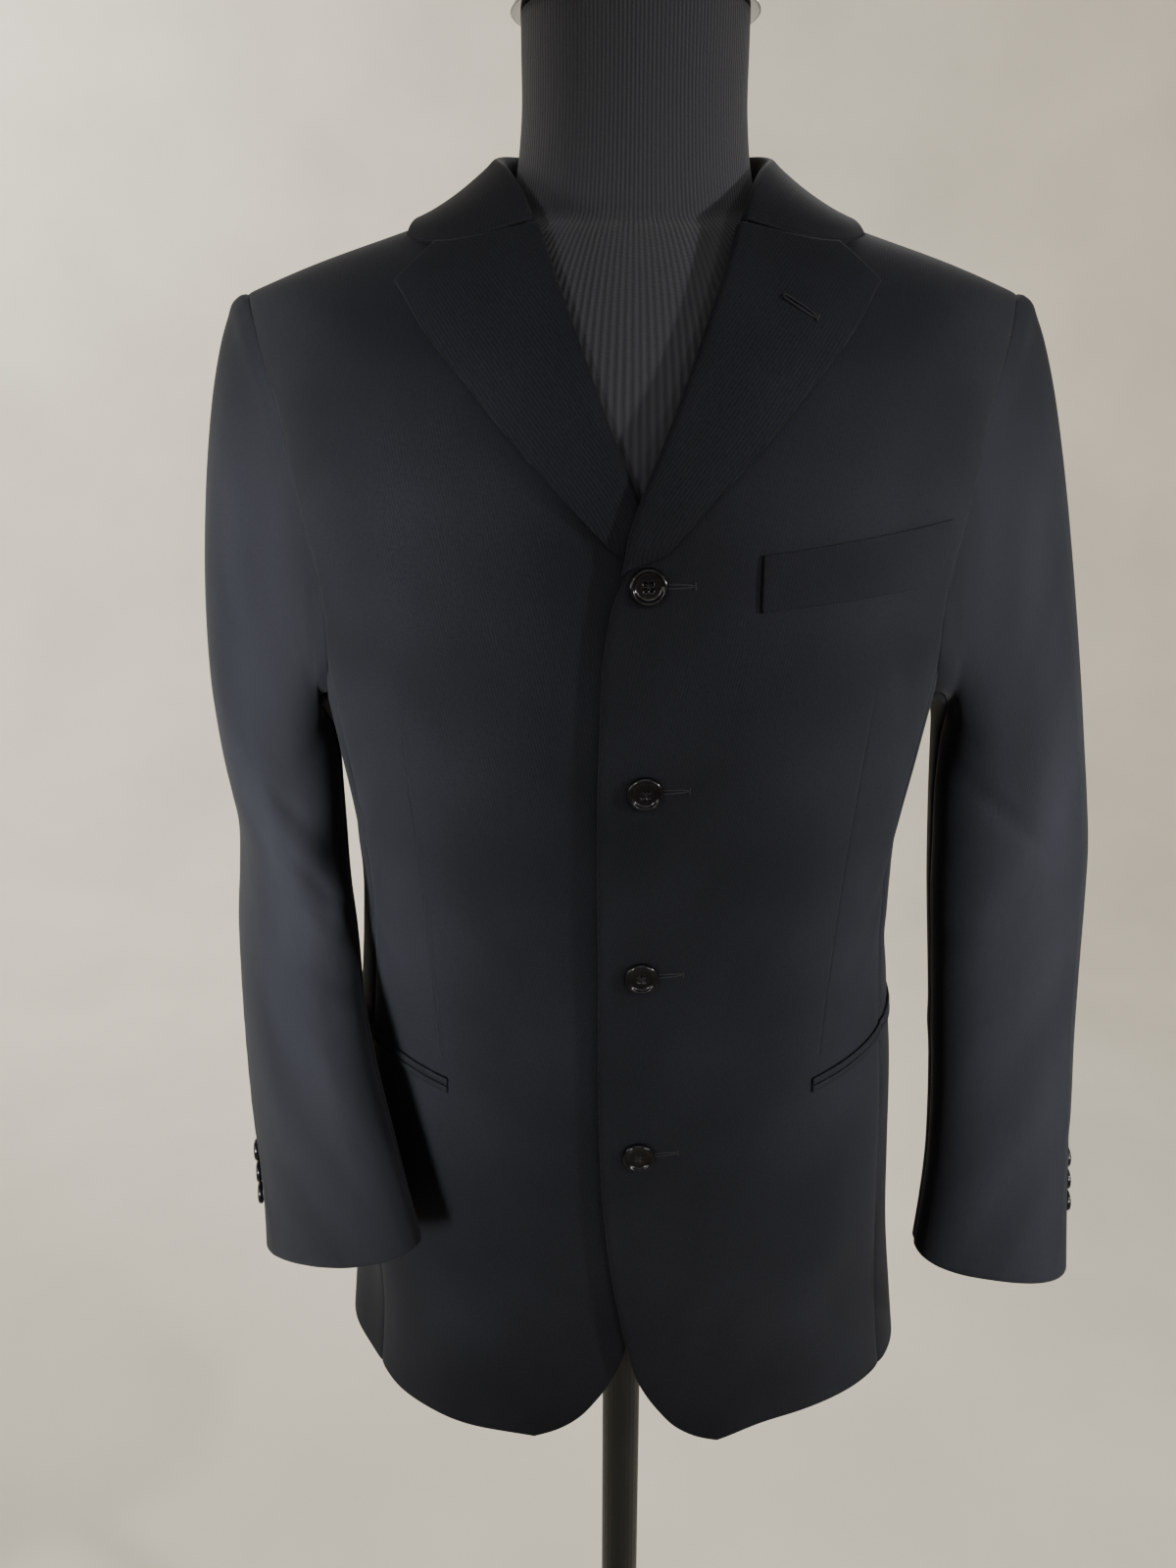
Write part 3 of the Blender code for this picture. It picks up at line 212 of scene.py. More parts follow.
# Buttonhole at the left lapel's top: out, height, tilt in degrees, length; its bar; its lift
LAPEL_HOLE = (0.0710, 1.4205, -32.0, 0.020)
LAPEL_HOLE_TACK = 0.0030
LAPEL_HOLE_LIFT = 0.0003

# The front laps: how far the left stands off and the right sinks near the centre
OVER_LIFT = 0.0050
OVER_FADE = 0.060
UNDER_DIP = 0.0035
UNDER_FADE = 0.048
LAP_TOP = 1.30
LAP_TOP_FADE = 0.06

# Front dart: level and distance from the centre at its top and at the pocket
DART_TOP = (1.236, 0.1325)
DART_FOOT = (0.986, 0.1165)
DART_DEPTH = 0.0010
DART_WIDTH = 0.0011
DART_SHARPNESS = 1.3
DART_RUN_ON = 1.4
DART_CROWDING = 1.7

# Shares of the dart's length: where it is open, where it starts to close and over how much
DART_RUN = (0.25, 0.985, 0.015)

# Seams of the side body: level, azimuth in degrees
FRONT_SEAM = np.array([[0.690, 76.0], [0.850, 73.0], [1.040, 69.0], [1.150, 68.0], [1.225, 68.0]])
BACK_SEAM = np.array([[0.690, 116.0], [0.850, 117.0], [1.040, 119.0], [1.150, 116.0], [1.225, 112.0]])

# The armhole: level, azimuth of its front and back, and azimuth, level of its underarm
ARM_FRONT = np.array([
    [1.225, 68.0], [1.255, 65.0], [1.290, 65.6], [1.330, 70.4], [1.360, 73.4], [1.390, 75.2],
    [1.425, 77.0], [1.450, 78.0],
])
ARM_BACK = np.array([
    [1.225, 112.0], [1.255, 114.6], [1.290, 113.6], [1.330, 109.0], [1.360, 105.6],
    [1.390, 103.8], [1.425, 103.2], [1.450, 103.12],
])
UNDERARM = np.array([
    [68.0, 1.225], [73.0, 1.2070], [80.0, 1.1965], [90.0, 1.1925], [100.0, 1.1965],
    [107.0, 1.2070], [112.0, 1.225],
])
ARM_LEVELS = (1.225, 1.250, 1.280, 1.310, 1.340, 1.368, 1.394, 1.417, 1.436, 1.450)
SIDE_COLUMNS = 7

# Fine grids
LOWER_ROWS = 190
UPPER_ROWS = 120
ROW_CROWDING = 1.15
FRONT_COLUMNS = (44, 38)
SIDE_GRID = 36
BACK_COLUMNS = (36, 22)
SHOULDER_SHARE = 5 / 8
BACK_BEND = 0.8
LAPEL_ROWS = 96
LAPEL_COLUMNS = (30, 16)
SLEEVE_FILL = (8, 5)
TUCK = (0.0022, 0.0016)
SLEEVE_SQUARE = {"left": (2.6, 2.6), "right": (2.6, 2.2)}
SQUARE_FROM = 0.97
SQUARE_OVER = 0.15
COLLAR_FILL = (5, 5)

# Sleeves: height, centre out, centre back, half across, half deep, turn in degrees
SLEEVES = {
    "left": np.array([
        [1.165, 0.2475, 0.0040, 0.0475, 0.0670, 15.0],
        [1.098, 0.2520, -0.0050, 0.0504, 0.0640, 15.0],
        [1.047, 0.2525, -0.0140, 0.0493, 0.0590, 14.0],
        [0.980, 0.2535, -0.0260, 0.0470, 0.0530, 12.0],
        [0.925, 0.2540, -0.0370, 0.0457, 0.0490, 10.0],
        [0.865, 0.2545, -0.0480, 0.0469, 0.0440, 10.0],
        [0.808, 0.2535, -0.0560, 0.0513, 0.0400, 10.0],
    ]),
    "right": np.array([
        [1.165, 0.2268, 0.0020, 0.0375, 0.0750, 14.0],
        [1.105, 0.2195, -0.0180, 0.0342, 0.0700, 18.0],
        [1.055, 0.2165, -0.0380, 0.0350, 0.0660, 24.0],
        [0.997, 0.2065, -0.0740, 0.0345, 0.0640, 30.0],
        [0.930, 0.1970, -0.0925, 0.0340, 0.0680, 38.0],
        [0.890, 0.1920, -0.0985, 0.0320, 0.0690, 44.0],
        [0.849, 0.1885, -0.1010, 0.0310, 0.0735, 48.0],
    ]),
}
CUFF_RISE = {"left": 0.07, "right": 0.25}
CUFF_DROP = {"left": 0.03, "right": 0.33}
CAP_STEPS = (0.0, 0.05, 0.13, 0.24, 0.38, 0.54, 0.70, 0.86, 1.0)
CUFF_STEPS = 11
SLEEVE_TWIST = {"left": 24.0, "right": -30.0}
SLEEVE_EVENNESS = 0.60
ELBOW_SEAM = -4
FOREARM_SEAM = 10
ROPE_RISE = 0.30
CAP_PULL = 0.27
UNDER_PULL = 0.75
DOWN_PULL = 1.15
OUTWARDS = (1.0, 0, 0.3)
ARMHOLE_MIDDLE = (0.002, 1.312)
UNDERARM_FROM = 100
UNDERARM_OVER = 62
WRAP_TURN = 172
RING_STEP = 0.01
CUFF_FADE = 0.25

# Swell beside the armhole seam: depth, distance, width; dip of the long seams: reach, depth
HEAD_SWELL = (0.0011, 0.009, 0.007)
LONG_SEAM = (0.0030, 0.0007)

# Broad creases of the sleeves: turn in degrees, height, half turn, half height, depth, slant
CREASES = {
    "left": (
        (70, 1.205, 30, 0.020, 0.0030, 0.0005),
        (150, 1.170, 34, 0.016, -0.0030, 0.0006),
        (110, 1.085, 40, 0.018, 0.0024, -0.0003),
        (-60, 1.120, 42, 0.022, 0.0030, 0.0004),
        (-100, 1.070, 40, 0.018, -0.0026, 0.0003),
        (60, 0.930, 46, 0.030, 0.0016, 0.0002),
    ),
    "right": (
        (72, 1.200, 32, 0.022, 0.0034, 0.0005),
        (118, 1.115, 34, 0.013, -0.0040, -0.0006),
        (112, 1.083, 38, 0.013, 0.0040, -0.0006),
        (20, 1.095, 34, 0.030, -0.0030, 0.0002),
        (-70, 1.110, 40, 0.020, 0.0034, 0.0004),
        (60, 0.960, 44, 0.034, 0.0018, 0.0003),
    ),
}

# Finer creases of the sleeves: column turn, height, half turn, half height, depth, slant
FINE_CREASES = {
    "left": (
        (95, 1.130, 34, 0.0080, -0.0012, 0.0007),
        (105, 1.062, 38, 0.0070, -0.0012, -0.0005),
        (120, 1.030, 30, 0.0090, 0.0009, -0.0004),
        (-80, 1.145, 34, 0.0090, -0.0013, -0.0006),
        (-95, 1.095, 36, 0.0080, 0.0012, -0.0004),
        (-110, 1.045, 34, 0.0075, -0.0012, 0.0005),
        (150, 1.200, 30, 0.0100, -0.0014, 0.0008),
        (20, 0.905, 60, 0.0100, -0.0006, 0.0002),
        (-160, 0.960, 40, 0.0110, 0.0009, -0.0003),
    ),
    "right": (
        (84, 1.142, 36, 0.0085, -0.0014, -0.0007),
        (96, 1.098, 34, 0.0070, -0.0018, -0.0008),
        (100, 1.066, 36, 0.0080, 0.0012, -0.0007),
        (110, 1.035, 32, 0.0075, -0.0012, -0.0004),
        (-84, 1.150, 32, 0.0090, -0.0013, -0.0005),
        (-100, 1.088, 36, 0.0080, 0.0013, 0.0005),
        (-104, 1.052, 36, 0.0075, -0.0014, 0.0005),
        (150, 1.195, 30, 0.0100, -0.0014, 0.0008),
        (30, 0.930, 55, 0.0100, -0.0007, 0.0003),
    ),
}

# The pressed line down each sleeve: column turn, height of its breast, half turn
PRESS_LINES = {
    "left": ((40, 0.0011, 5.0),),
    "right": ((-30, 0.0011, 6.0),),
}
PRESS_TOP = (1.32, 0.12)
PRESS_FOOT = (0.80, 0.08)

# Collar from its front end to the centre back:
# share, fold base out, fold base angle, outer edge out, outer edge angle, stand height
COLLAR = np.array([
    [0.00, 0.0555, 57.0, 0.1235, 67.7, 0.0000],
    [0.12, 0.0620, 66.0, 0.1230, 74.0, 0.0030],
    [0.24, 0.0695, 76.0, 0.1215, 82.0, 0.0085],
    [0.36, 0.0775, 88.0, 0.1180, 90.0, 0.0155],
    [0.50, 0.0725, 99.0, 0.1060, 101.0, 0.0220],
    [0.68, 0.0540, 108.5, 0.0790, 112.0, 0.0270],
    [0.84, 0.0290, 113.2, 0.0440, 118.0, 0.0292],
    [1.00, 0.0000, 115.0, 0.0000, 120.6, 0.0300],
])
GORGE_SAG = 5.0
COLLAR_LIFT = 0.0036
COLLAR_ROWS = 15
COLLAR_CROWDING = 0.85
STAND_FADE = 1.25
NECKWARD = 0.0030
NECKLINE_DROP = 0.0030
NECKLINE_FADE = 0.2
NECK_POINT = 0.36

# The stand and its fold: share outwards of NECKWARD, rise off the body, share of the height
COLLAR_ROUND = (
    (-1.0, -0.0010, 0.0), (-1.0, 0.0006, 0.5), (-1.0, 0.0012, 0.88), (-0.62, 0.0026, 1.0),
    (0.1, 0.0036, 1.0),
)
FALL_SHARES = (0.12, 0.30, 0.50, 0.73, 0.87, 1.0)

# Pockets, on the front surface, from the centre outwards
WELT_X = (0.063, 0.171)
WELT_TOP = (1.2985, 1.3120)
WELT_BOTTOM = (1.2690, 1.2775)
WELT_THICK = 0.0014
WELT_LIFT = 0.0007
WELT_BELLY = 0.0005
WELT_LEAN = 0.005
WELT_TURN_UP = 0.003
WELT_TURN_SPAN = (0.8, 0.2)
WELT_GRID = (28, 90)
JET_X = 0.112
JET_LENGTH = 0.138
JET_HEIGHT = 0.9695
JET_SLANT = 0.20
JET_WIDTH = 0.0048
JET_SINK = 0.0026
JET_SINK_SPAN = (0.60, 0.25)
JET_THICK = 0.0010
JET_LIFT = 0.0009
JET_BELLY = 0.0005
JET_BODY_ROW = 4
JET_GRID = (10, 120)

# Buttons: radius, height
FRONT_BUTTON = (0.0100, 0.0036)
CUFF_BUTTON = (0.0075, 0.0030)
BUTTON_X = 0.0045
BUTTON_LEVELS = (1.2835, 1.174, 1.059, 0.937)
CUFF_BUTTON_FIRST = 0.040
CUFF_BUTTON_STEP = 0.0156
CUFF_BUTTON_LIFT = 0.0003
BUTTON_SIDES = 48
PROFILE_FILL = 5
HOLE_SPREAD = 0.21
HOLE_RADIUS = 0.095
HOLE_DEPTH = 0.45
BUTTON_MIDDLE = 0.60
BUTTON_UPPER = 0.3

# A button's section: shares of its radius and of its height
BUTTON_PROFILE = (
    (0.0, BUTTON_MIDDLE), (0.30, BUTTON_MIDDLE), (0.58, BUTTON_MIDDLE), (0.70, 0.72), (0.78, 0.97),
    (0.87, 1.02), (0.96, 0.82), (1.0, 0.46), (0.93, 0.14), (0.76, 0.0), (0.0, 0.0),
)

# The thread through a button: points, radius, lift, arch, how far the second lies over the first
SEWN_STEPS = 9
SEWN_RADIUS = 0.0002
SEWN_LIFT = 0.0002
SEWN_ARCH = 0.0003
SEWN_OVER = 0.0001

# Buttonholes: length, thread radius, start from the button's middle, half width of the slit
BUTTONHOLE = 0.0225
THREAD = 0.00042
BUTTONHOLE_START = 0.001
SLIT_HALF = 0.0010
EYE_SWELL = (0.0007, 0.12)
STITCH_SHARE = 0.30
STITCH_COUNT = 60
SLIT_STEPS = 120
BAR_STEPS = 24
BAR_AWAY = 0.0003
BAR_OVER = 0.0002
BAR_THICK = 1.25

# Dress form: level, clearance to the body surface
FORM_CLEARANCE = np.array([
    [0.790, 0.0340], [0.880, 0.0270], [0.960, 0.0200], [1.040, 0.0120], [1.150, 0.0100],
    [1.230, 0.0100], [1.300, 0.0100],
])
FORM_BOTTOM = 0.790
FORM_SIDES = 36
FORM_SEAT = 0.00255
FORM_SHOULDER = 0.198
FORM_SHOULDER_POWER = 8
FORM_DROP = (0.0070, 0.0060)
FORM_FILL = 4
FORM_BODY_ROW = 10
FORM_FOOT_SHARE = 0.92
FORM_EDGE_SHARE = 0.975
FORM_LEVELS = (0.88, 0.95, 1.02, 1.09, 1.16, 1.23, 1.27)
FORM_SPREADS = (1.0, 0.985, 0.95, 0.89, 0.80, 0.68, 0.54, 0.40, 0.26, 0.12, 0.0)
NECK_HALF_WIDTH = 0.0630
NECK_HALF_DEPTH = 0.0625
NECK_BASE = (0.0710, 0.0640)
NECK_TOP = 1.574
NECK_ARC_TOP = 1.530
NECK_ARC_SPREAD = 1.03
NECK_ARC_RISE = 0.010
NECK_RING = 1.552
RIB = 0.0022
TWILL = 0.0018
CAP_RADIUS = 0.0665
CAP_HEIGHT = 0.030
CAP_SIDES = 96

# The cap's section: shares of its radius and of its height
CAP_PROFILE = (
    (0.0, 1.0), (0.35, 0.93), (0.66, 0.72), (0.88, 0.45), (0.98, 0.26), (1.0, 0.14),
    (0.985, 0.03), (0.95, 0.0), (0.0, 0.0),
)

# Camera, worked out from the photograph
CAMERA_PLACE = (-0.026, -0.770, 1.380)
CAMERA_PITCH = 72.0
LENS = 28.08
SENSOR = 36.0

# Colours, as sRGB
NAVY_YARN = "#18191D"
DARK_YARN = "#0C0D10"
THREAD_COLOUR = "#121215"
RESIN = "#08080A"
JERSEY = "#2B2B2F"
JERSEY_DARK = "#202023"
STEEL_PAINT = "#101111"
ROOM_PAINT = "#DED8CA"
SKY = "#F2EFE8"

# Room, and lights: name, place, aim, width, height, spread in degrees, power, colour
ROOM_RADIUS = 3.4
ROOM_CURVE = 1.3
ROOM_HEIGHT = 3.6
ROOM_SIDES = 64
ROOM_ARC_STEPS = 13
FLOOR_RINGS = (0.4, 1.2)
SKY_STRENGTH = 0.24
LAMPS = (
    ("window_left", (-0.66, -1.18, 1.34), (-0.36, 0.0, 1.10), 0.26, 0.60, 34, 8.5, (0.99, 1.0, 1.0)),
    ("window_edge", (-0.92, -0.45, 1.30), (-0.2, 0.0, 1.10), 0.30, 0.30, 170, 3.0, (0.99, 1.0, 1.0)),
    ("front_soft", (-0.02, -1.15, 1.85), (0.0, 0.0, 1.10), 0.80, 0.80, 170, 3.8, (1.0, 1.0, 1.0)),
    ("lamp_right", (0.66, -1.18, 1.34), (0.36, 0.0, 1.06), 0.20, 0.70, 36, 5.4, (1.0, 1.0, 1.0)),
    ("lamp_chest", (1.05, -0.66, 1.50), (0.1, 0.0, 1.05), 0.06, 0.06, 170, 13.0, (1.0, 1.0, 1.0)),
    ("back_soft", (0.40, 1.60, 2.30), (0.0, 0.0, 1.15), 0.80, 0.80, 170, 14.0, (1.0, 1.0, 1.0)),
    ("wall_wash", (-2.3, 1.2, 2.7), (-1.3, 3.1, 1.7), 0.4, 0.4, 170, 92.0, (1.0, 0.99, 0.96)),
)


def cubic(t):
    """Weights of a cubic piece at t: its start, its slope there, its end and its slope there."""
    return 2 * t**3 - 3 * t**2 + 1, t**3 - 2 * t**2 + t, 3 * t**2 - 2 * t**3, t**3 - t**2


def through(table, column, at):
    """Value of a table's column at a key in its first column: cubic pieces through the rows."""
    keys = table[:, 0]
    values = table[:, column]
    slopes = np.gradient(values, keys)
    at = np.clip(at, keys[0], keys[-1])
    row = np.clip(np.searchsorted(keys, at) - 1, 0, len(keys) - 2)
    width = keys[row + 1] - keys[row]
    start, leave, end, arrive = cubic((at - keys[row]) / width)
    return (
        start * values[row] + leave * width * slopes[row]
        + end * values[row + 1] + arrive * width * slopes[row + 1]
    )


def ease(t):
    """Smooth step from 0 to 1."""
    t = np.clip(t, 0.0, 1.0)
    return t * t * (3 - 2 * t)


def blend(a, b, share):
    """Straight mix of a and b."""
    return a + (b - a) * share


def unit(vectors):
    """Vectors along the last axis, each made one long."""
    return vectors / np.linalg.norm(vectors, axis=-1, keepdims=True)


def filled(points, times, axis, closed=False):
    """A grid with cubic arcs filled in along one axis: each span between points is cut in times."""
    points = np.moveaxis(points, axis, 0)
    count = len(points)
    if closed:
        points = np.concatenate([points[-2:], points, points[:3]])
    slope = np.gradient(points, axis=0)
    t = (np.arange(times) / times).reshape((1, times) + (1,) * (points.ndim - 1))
    start, leave, end, arrive = cubic(t)
    spans = (
        start * points[:-1, None] + leave * slope[:-1, None]
        + end * points[1:, None] + arrive * slope[1:, None]
    )
    spans = spans.reshape((-1,) + points.shape[1:])
    if closed:
        spans = spans[2 * times:(2 + count) * times]
    else:
        spans = np.concatenate([spans, points[-1:]])
    return np.moveaxis(spans, 0, axis)


def ridge_height(x):
    """Height of the shoulder seam, falling outwards from a rounded top at the neck."""
    middle, wide, high = SHOULDER_SWELL
    swell = high * np.exp(-(((np.abs(x) - middle) / wide) ** 2))
    return TIP_HEIGHT + SHOULDER_SLOPE * (TIP_X - np.sqrt(x**2 + NECK_ROUNDING**2)) + swell


def drape(azimuth, level):
    """Sum of the soft folds: each a bell across the azimuth and along the level."""
    total = np.zeros(np.broadcast(azimuth, level).shape)
    degrees = np.degrees(azimuth)
    for middle, height, tall, wide, depth, lean in DRAPES:
        across = (degrees - middle - lean * (level - height)) / wide
        along = (level - height) / tall
        total = total + depth * np.exp(-(across**2) - along**4)
    return total


def ring_radius(azimuth, level):
    """Distance from the axis of a squared-off oval whose sizes come from BODY."""
    half_width = through(BODY, 1, level)
    facing_front = np.cos(azimuth) > 0
    depth = np.where(facing_front, through(BODY, 2, level), through(BODY, 3, level))
    square = through(BODY, 4, level)
    sideways = np.abs(np.sin(azimuth) / half_width) ** square
    frontways = np.abs(np.cos(azimuth) / depth) ** square
    return (sideways + frontways) ** (-1 / square)


def body(azimuth, level):
    """Point of the body surface: a ring below DOME_START, a quarter arc over to the ridge above."""
    azimuth, level = np.broadcast_arrays(azimuth, level)
    arc = np.clip((level - DOME_START) / (RIDGE_LEVEL - DOME_START), 0, 1) * math.pi / 2
    radius = ring_radius(azimuth, level) + drape(azimuth, level) * np.cos(arc)
    x = radius * np.sin(azimuth)
    y = SEAM_Y + (-radius * np.cos(azimuth) - SEAM_Y) * np.cos(arc)
    z = np.minimum(level, DOME_START) + (ridge_height(x) - DOME_START) * np.sin(arc)
    return np.stack([x, y, z], axis=-1)


def body_normal(azimuth, level):
    """Outward normal of the body surface, from small steps along both parameters."""
    around = body(azimuth + NUDGE, level) - body(azimuth - NUDGE, level)
    upward = body(azimuth, level + NUDGE) - body(azimuth, level - NUDGE)
    return unit(np.cross(around, upward))


def azimuth_at(x, level, back=False):
    """Azimuth of the point of a level's ring that lies at x."""
    half_width = through(BODY, 1, level)
    depth = through(BODY, 3 if back else 2, level)
    square = through(BODY, 4, level)
    share = np.clip(np.abs(x) / half_width, 0, 0.9999) ** square
    y = depth * (1 - share) ** (1 / square)
    return np.arctan2(x, -y if back else y)


def level_at(x, z):
    """Level of the front surface's point at x and height z."""
    rise = np.clip((z - DOME_START) / (ridge_height(x) - DOME_START), 0, 1)
    arc = np.arcsin(rise) / (math.pi / 2)
    return np.where(z < DOME_START, z, DOME_START + (RIDGE_LEVEL - DOME_START) * arc)


def lap(x, level, side):
    """How far a front stands off the body surface beside the closure; x counts from the centre."""
    fade = 1 - ease((level - LAP_TOP) / LAP_TOP_FADE)
    if side == "left":
        return OVER_LIFT * ease((OVER_FADE - x) / OVER_FADE) * fade
    return -UNDER_DIP * ease((UNDER_FADE - x) / UNDER_FADE) * fade


def mirrored(points, side):
    """Points of the wearer's left, or turned over to the right."""
    return points * np.array([SIGN[side], 1.0, 1.0])


def lifted(azimuth, level, lift, side):
    """Point at a lift off the body surface; the azimuth counts towards the named side."""
    azimuth = np.asarray(azimuth) * SIGN[side]
    return body(azimuth, level) + body_normal(azimuth, level) * np.asarray(lift)[..., None]


def creased(azimuth, level, side):
    """Sum of the small creases: each a long bell, tilted from upright, on the unrolled body."""
    total = np.zeros(np.broadcast(azimuth, level).shape)
    for middle, height, long, wide, depth, tilt in BODY_CREASES:
        across = (azimuth * SIGN[side] - math.radians(middle)) * GIRTH_RADIUS
        upward = level - height
        turn = math.radians(tilt)
        along = upward * math.cos(turn) + across * math.sin(turn)
        beside = across * math.cos(turn) - upward * math.sin(turn)
        total += depth * np.exp(-((along / long) ** 4) - (beside / wide) ** 2)
    return total


def grid_facing(points, closed=False):
    """Normals of a grid of points, from its neighbours along both axes."""
    down = np.gradient(points, axis=0)
    if closed:
        across = np.roll(points, -1, axis=1) - np.roll(points, 1, axis=1)
    else:
        across = np.gradient(points, axis=1)
    return unit(np.cross(across, down))


def ring_quads(number):
    """Faces between rings of numbered points, each ring closed on itself, and the next columns."""
    beside = np.roll(number, -1, axis=1)
    quads = np.stack([number[:-1], number[1:], beside[1:], beside[:-1]], -1)
    return quads.reshape(-1, 4).tolist(), beside


def run_lengths(points, axis):
    """Distance walked along one axis of a grid, from its first point."""
    steps = np.linalg.norm(np.diff(points, axis=axis), axis=-1)
    start = np.zeros_like(np.take(steps, [0], axis=axis))
    return np.concatenate([start, np.cumsum(steps, axis=axis)], axis=axis)


def mesh_piece(name, points, faces, uv=None):
    """An object from arrays of points and faces, with the cloth's own lengths as its UV map."""
    mesh = bpy.data.meshes.new(name)
    mesh.from_pydata(points.tolist(), [], faces)
    if uv is not None:
        layer = mesh.uv_layers.new(name="Cloth")
        corner = np.empty(len(mesh.loops), dtype=np.int32)
        mesh.loops.foreach_get("vertex_index", corner)
        layer.data.foreach_set("uv", uv[corner].ravel().astype(np.float32))
    mesh.shade_smooth()
    thing = bpy.data.objects.new(name, mesh)
    bpy.context.scene.collection.objects.link(thing)
    return thing


def cloth(name, outer, facing, thick=CLOTH, gap=SEWN_GAP, base_u=0.0, from_last=False):
    """A thin cloth wall: outer grid, the same grid moved in by its thickness, and a rounded rim.

    The rim is a third loop between both faces, pushed out past the edge by a third of the
    thickness. The outer grid's edges first move in by half the seam gap.
    """
    outer = outer.copy()
    rows, columns = outer.shape[:2]
    inset = thick * RIM_INSET + gap / 2
    for edge, neighbour in ((0, 1), (-1, -2)):
        step = unit(outer[:, neighbour] - outer[:, edge])
        outer[:, edge] += step * inset
        step = unit(outer[neighbour] - outer[edge])
        outer[edge] += step * inset
    inner = outer - facing * thick
    number = np.arange(rows * columns).reshape(rows, columns)
    count = rows * columns
    loop = np.concatenate([number[0], number[1:, -1], number[-1, -2::-1], number[-2:0:-1, 0]])
    middle = 0.5 * (outer + inner).reshape(-1, 3)[loop]
    edge_run = unit(np.roll(middle, -1, axis=0) - np.roll(middle, 1, axis=0))
    aside = unit(np.cross(edge_run, facing.reshape(-1, 3)[loop]))
    near = np.concatenate([
        outer[1, :], outer[1:, -2], outer[-2, -2::-1], outer[-2:0:-1, 1],
    ])
    aside *= np.where(np.sum(aside * (near - middle), axis=1) > 0, -1.0, 1.0)[:, None]
    rim = middle + aside * thick * RIM_SWELL
    quads = np.stack([number[:-1, :-1], number[:-1, 1:], number[1:, 1:], number[1:, :-1]], -1)
    quads = quads.reshape(-1, 4)
    k = np.arange(len(loop)) + 2 * count
    after = np.roll(np.arange(len(loop)), -1)
    upper = np.stack([loop, k, k[after], loop[after]], -1)
    lower = np.stack([k, loop + count, loop[after] + count, k[after]], -1)
    points = np.concatenate([outer.reshape(-1, 3), inner.reshape(-1, 3), rim])
    middle_quad = quads[len(quads) // 2]
    corner = points[middle_quad]
    lies = np.cross(corner[1] - corner[0], corner[3] - corner[0])
    flip = np.dot(lies, facing.reshape(-1, 3)[middle_quad[0]]) < 0
    faces = np.concatenate([quads, quads[:, ::-1] + count, upper, lower])
    if flip:
        faces = faces[:, ::-1]
    across = run_lengths(outer, 1)
    if from_last:
        across = across - across[:, -1:]
    across = across + base_u
    upward = run_lengths(outer, 0)
    flat = np.stack([across, upward], -1).reshape(-1, 2)
    uv = np.concatenate([flat, flat, flat[loop]])
    return mesh_piece(name, points, faces.tolist(), uv)


def panel_levels():
    """Levels of a panel's rows: close together at the hem, then evenly up and over the shoulder."""
    lower = HEM + (ARM_SEAM_LEVEL - HEM) * np.linspace(0, 1, LOWER_ROWS) ** ROW_CROWDING
    return np.concatenate([lower, np.linspace(ARM_SEAM_LEVEL, RIDGE_LEVEL, UPPER_ROWS)[1:]])


def hem_shape(azimuth, level, side):
    """The hem's small rise and dip round the skirt and its drop at the front, fading upwards."""
    tall, phase = HEM_WAVE
    middle, wide = HEM_DIP
    fade = 1 - ease((level - HEM) / HEM_FADE)
    wave = tall * np.sin(3 * azimuth + phase) * np.clip(np.sin(np.abs(azimuth)), 0, 1)
    drop = HEM_DROP[side] * np.exp(-(((azimuth - middle) / wide) ** 2))
    return fade * (wave - drop)


def seam_press(arc, reach=0.0035, depth=0.0009):
    """The cloth turning down into a seam: a dip over the last few millimetres beside it."""
    return -depth * np.exp(-(arc / reach) ** 2)


def panel(name, azimuth, level, lift, side, **more):
    """A body panel's cloth from its grids of azimuth, level and lift."""
    level = level + hem_shape(azimuth, level, side)
    lift = lift + creased(azimuth, level, side)
    outer = lifted(azimuth, level, lift, side)
    return cloth(name, outer, body_normal(azimuth * SIGN[side], level), **more)


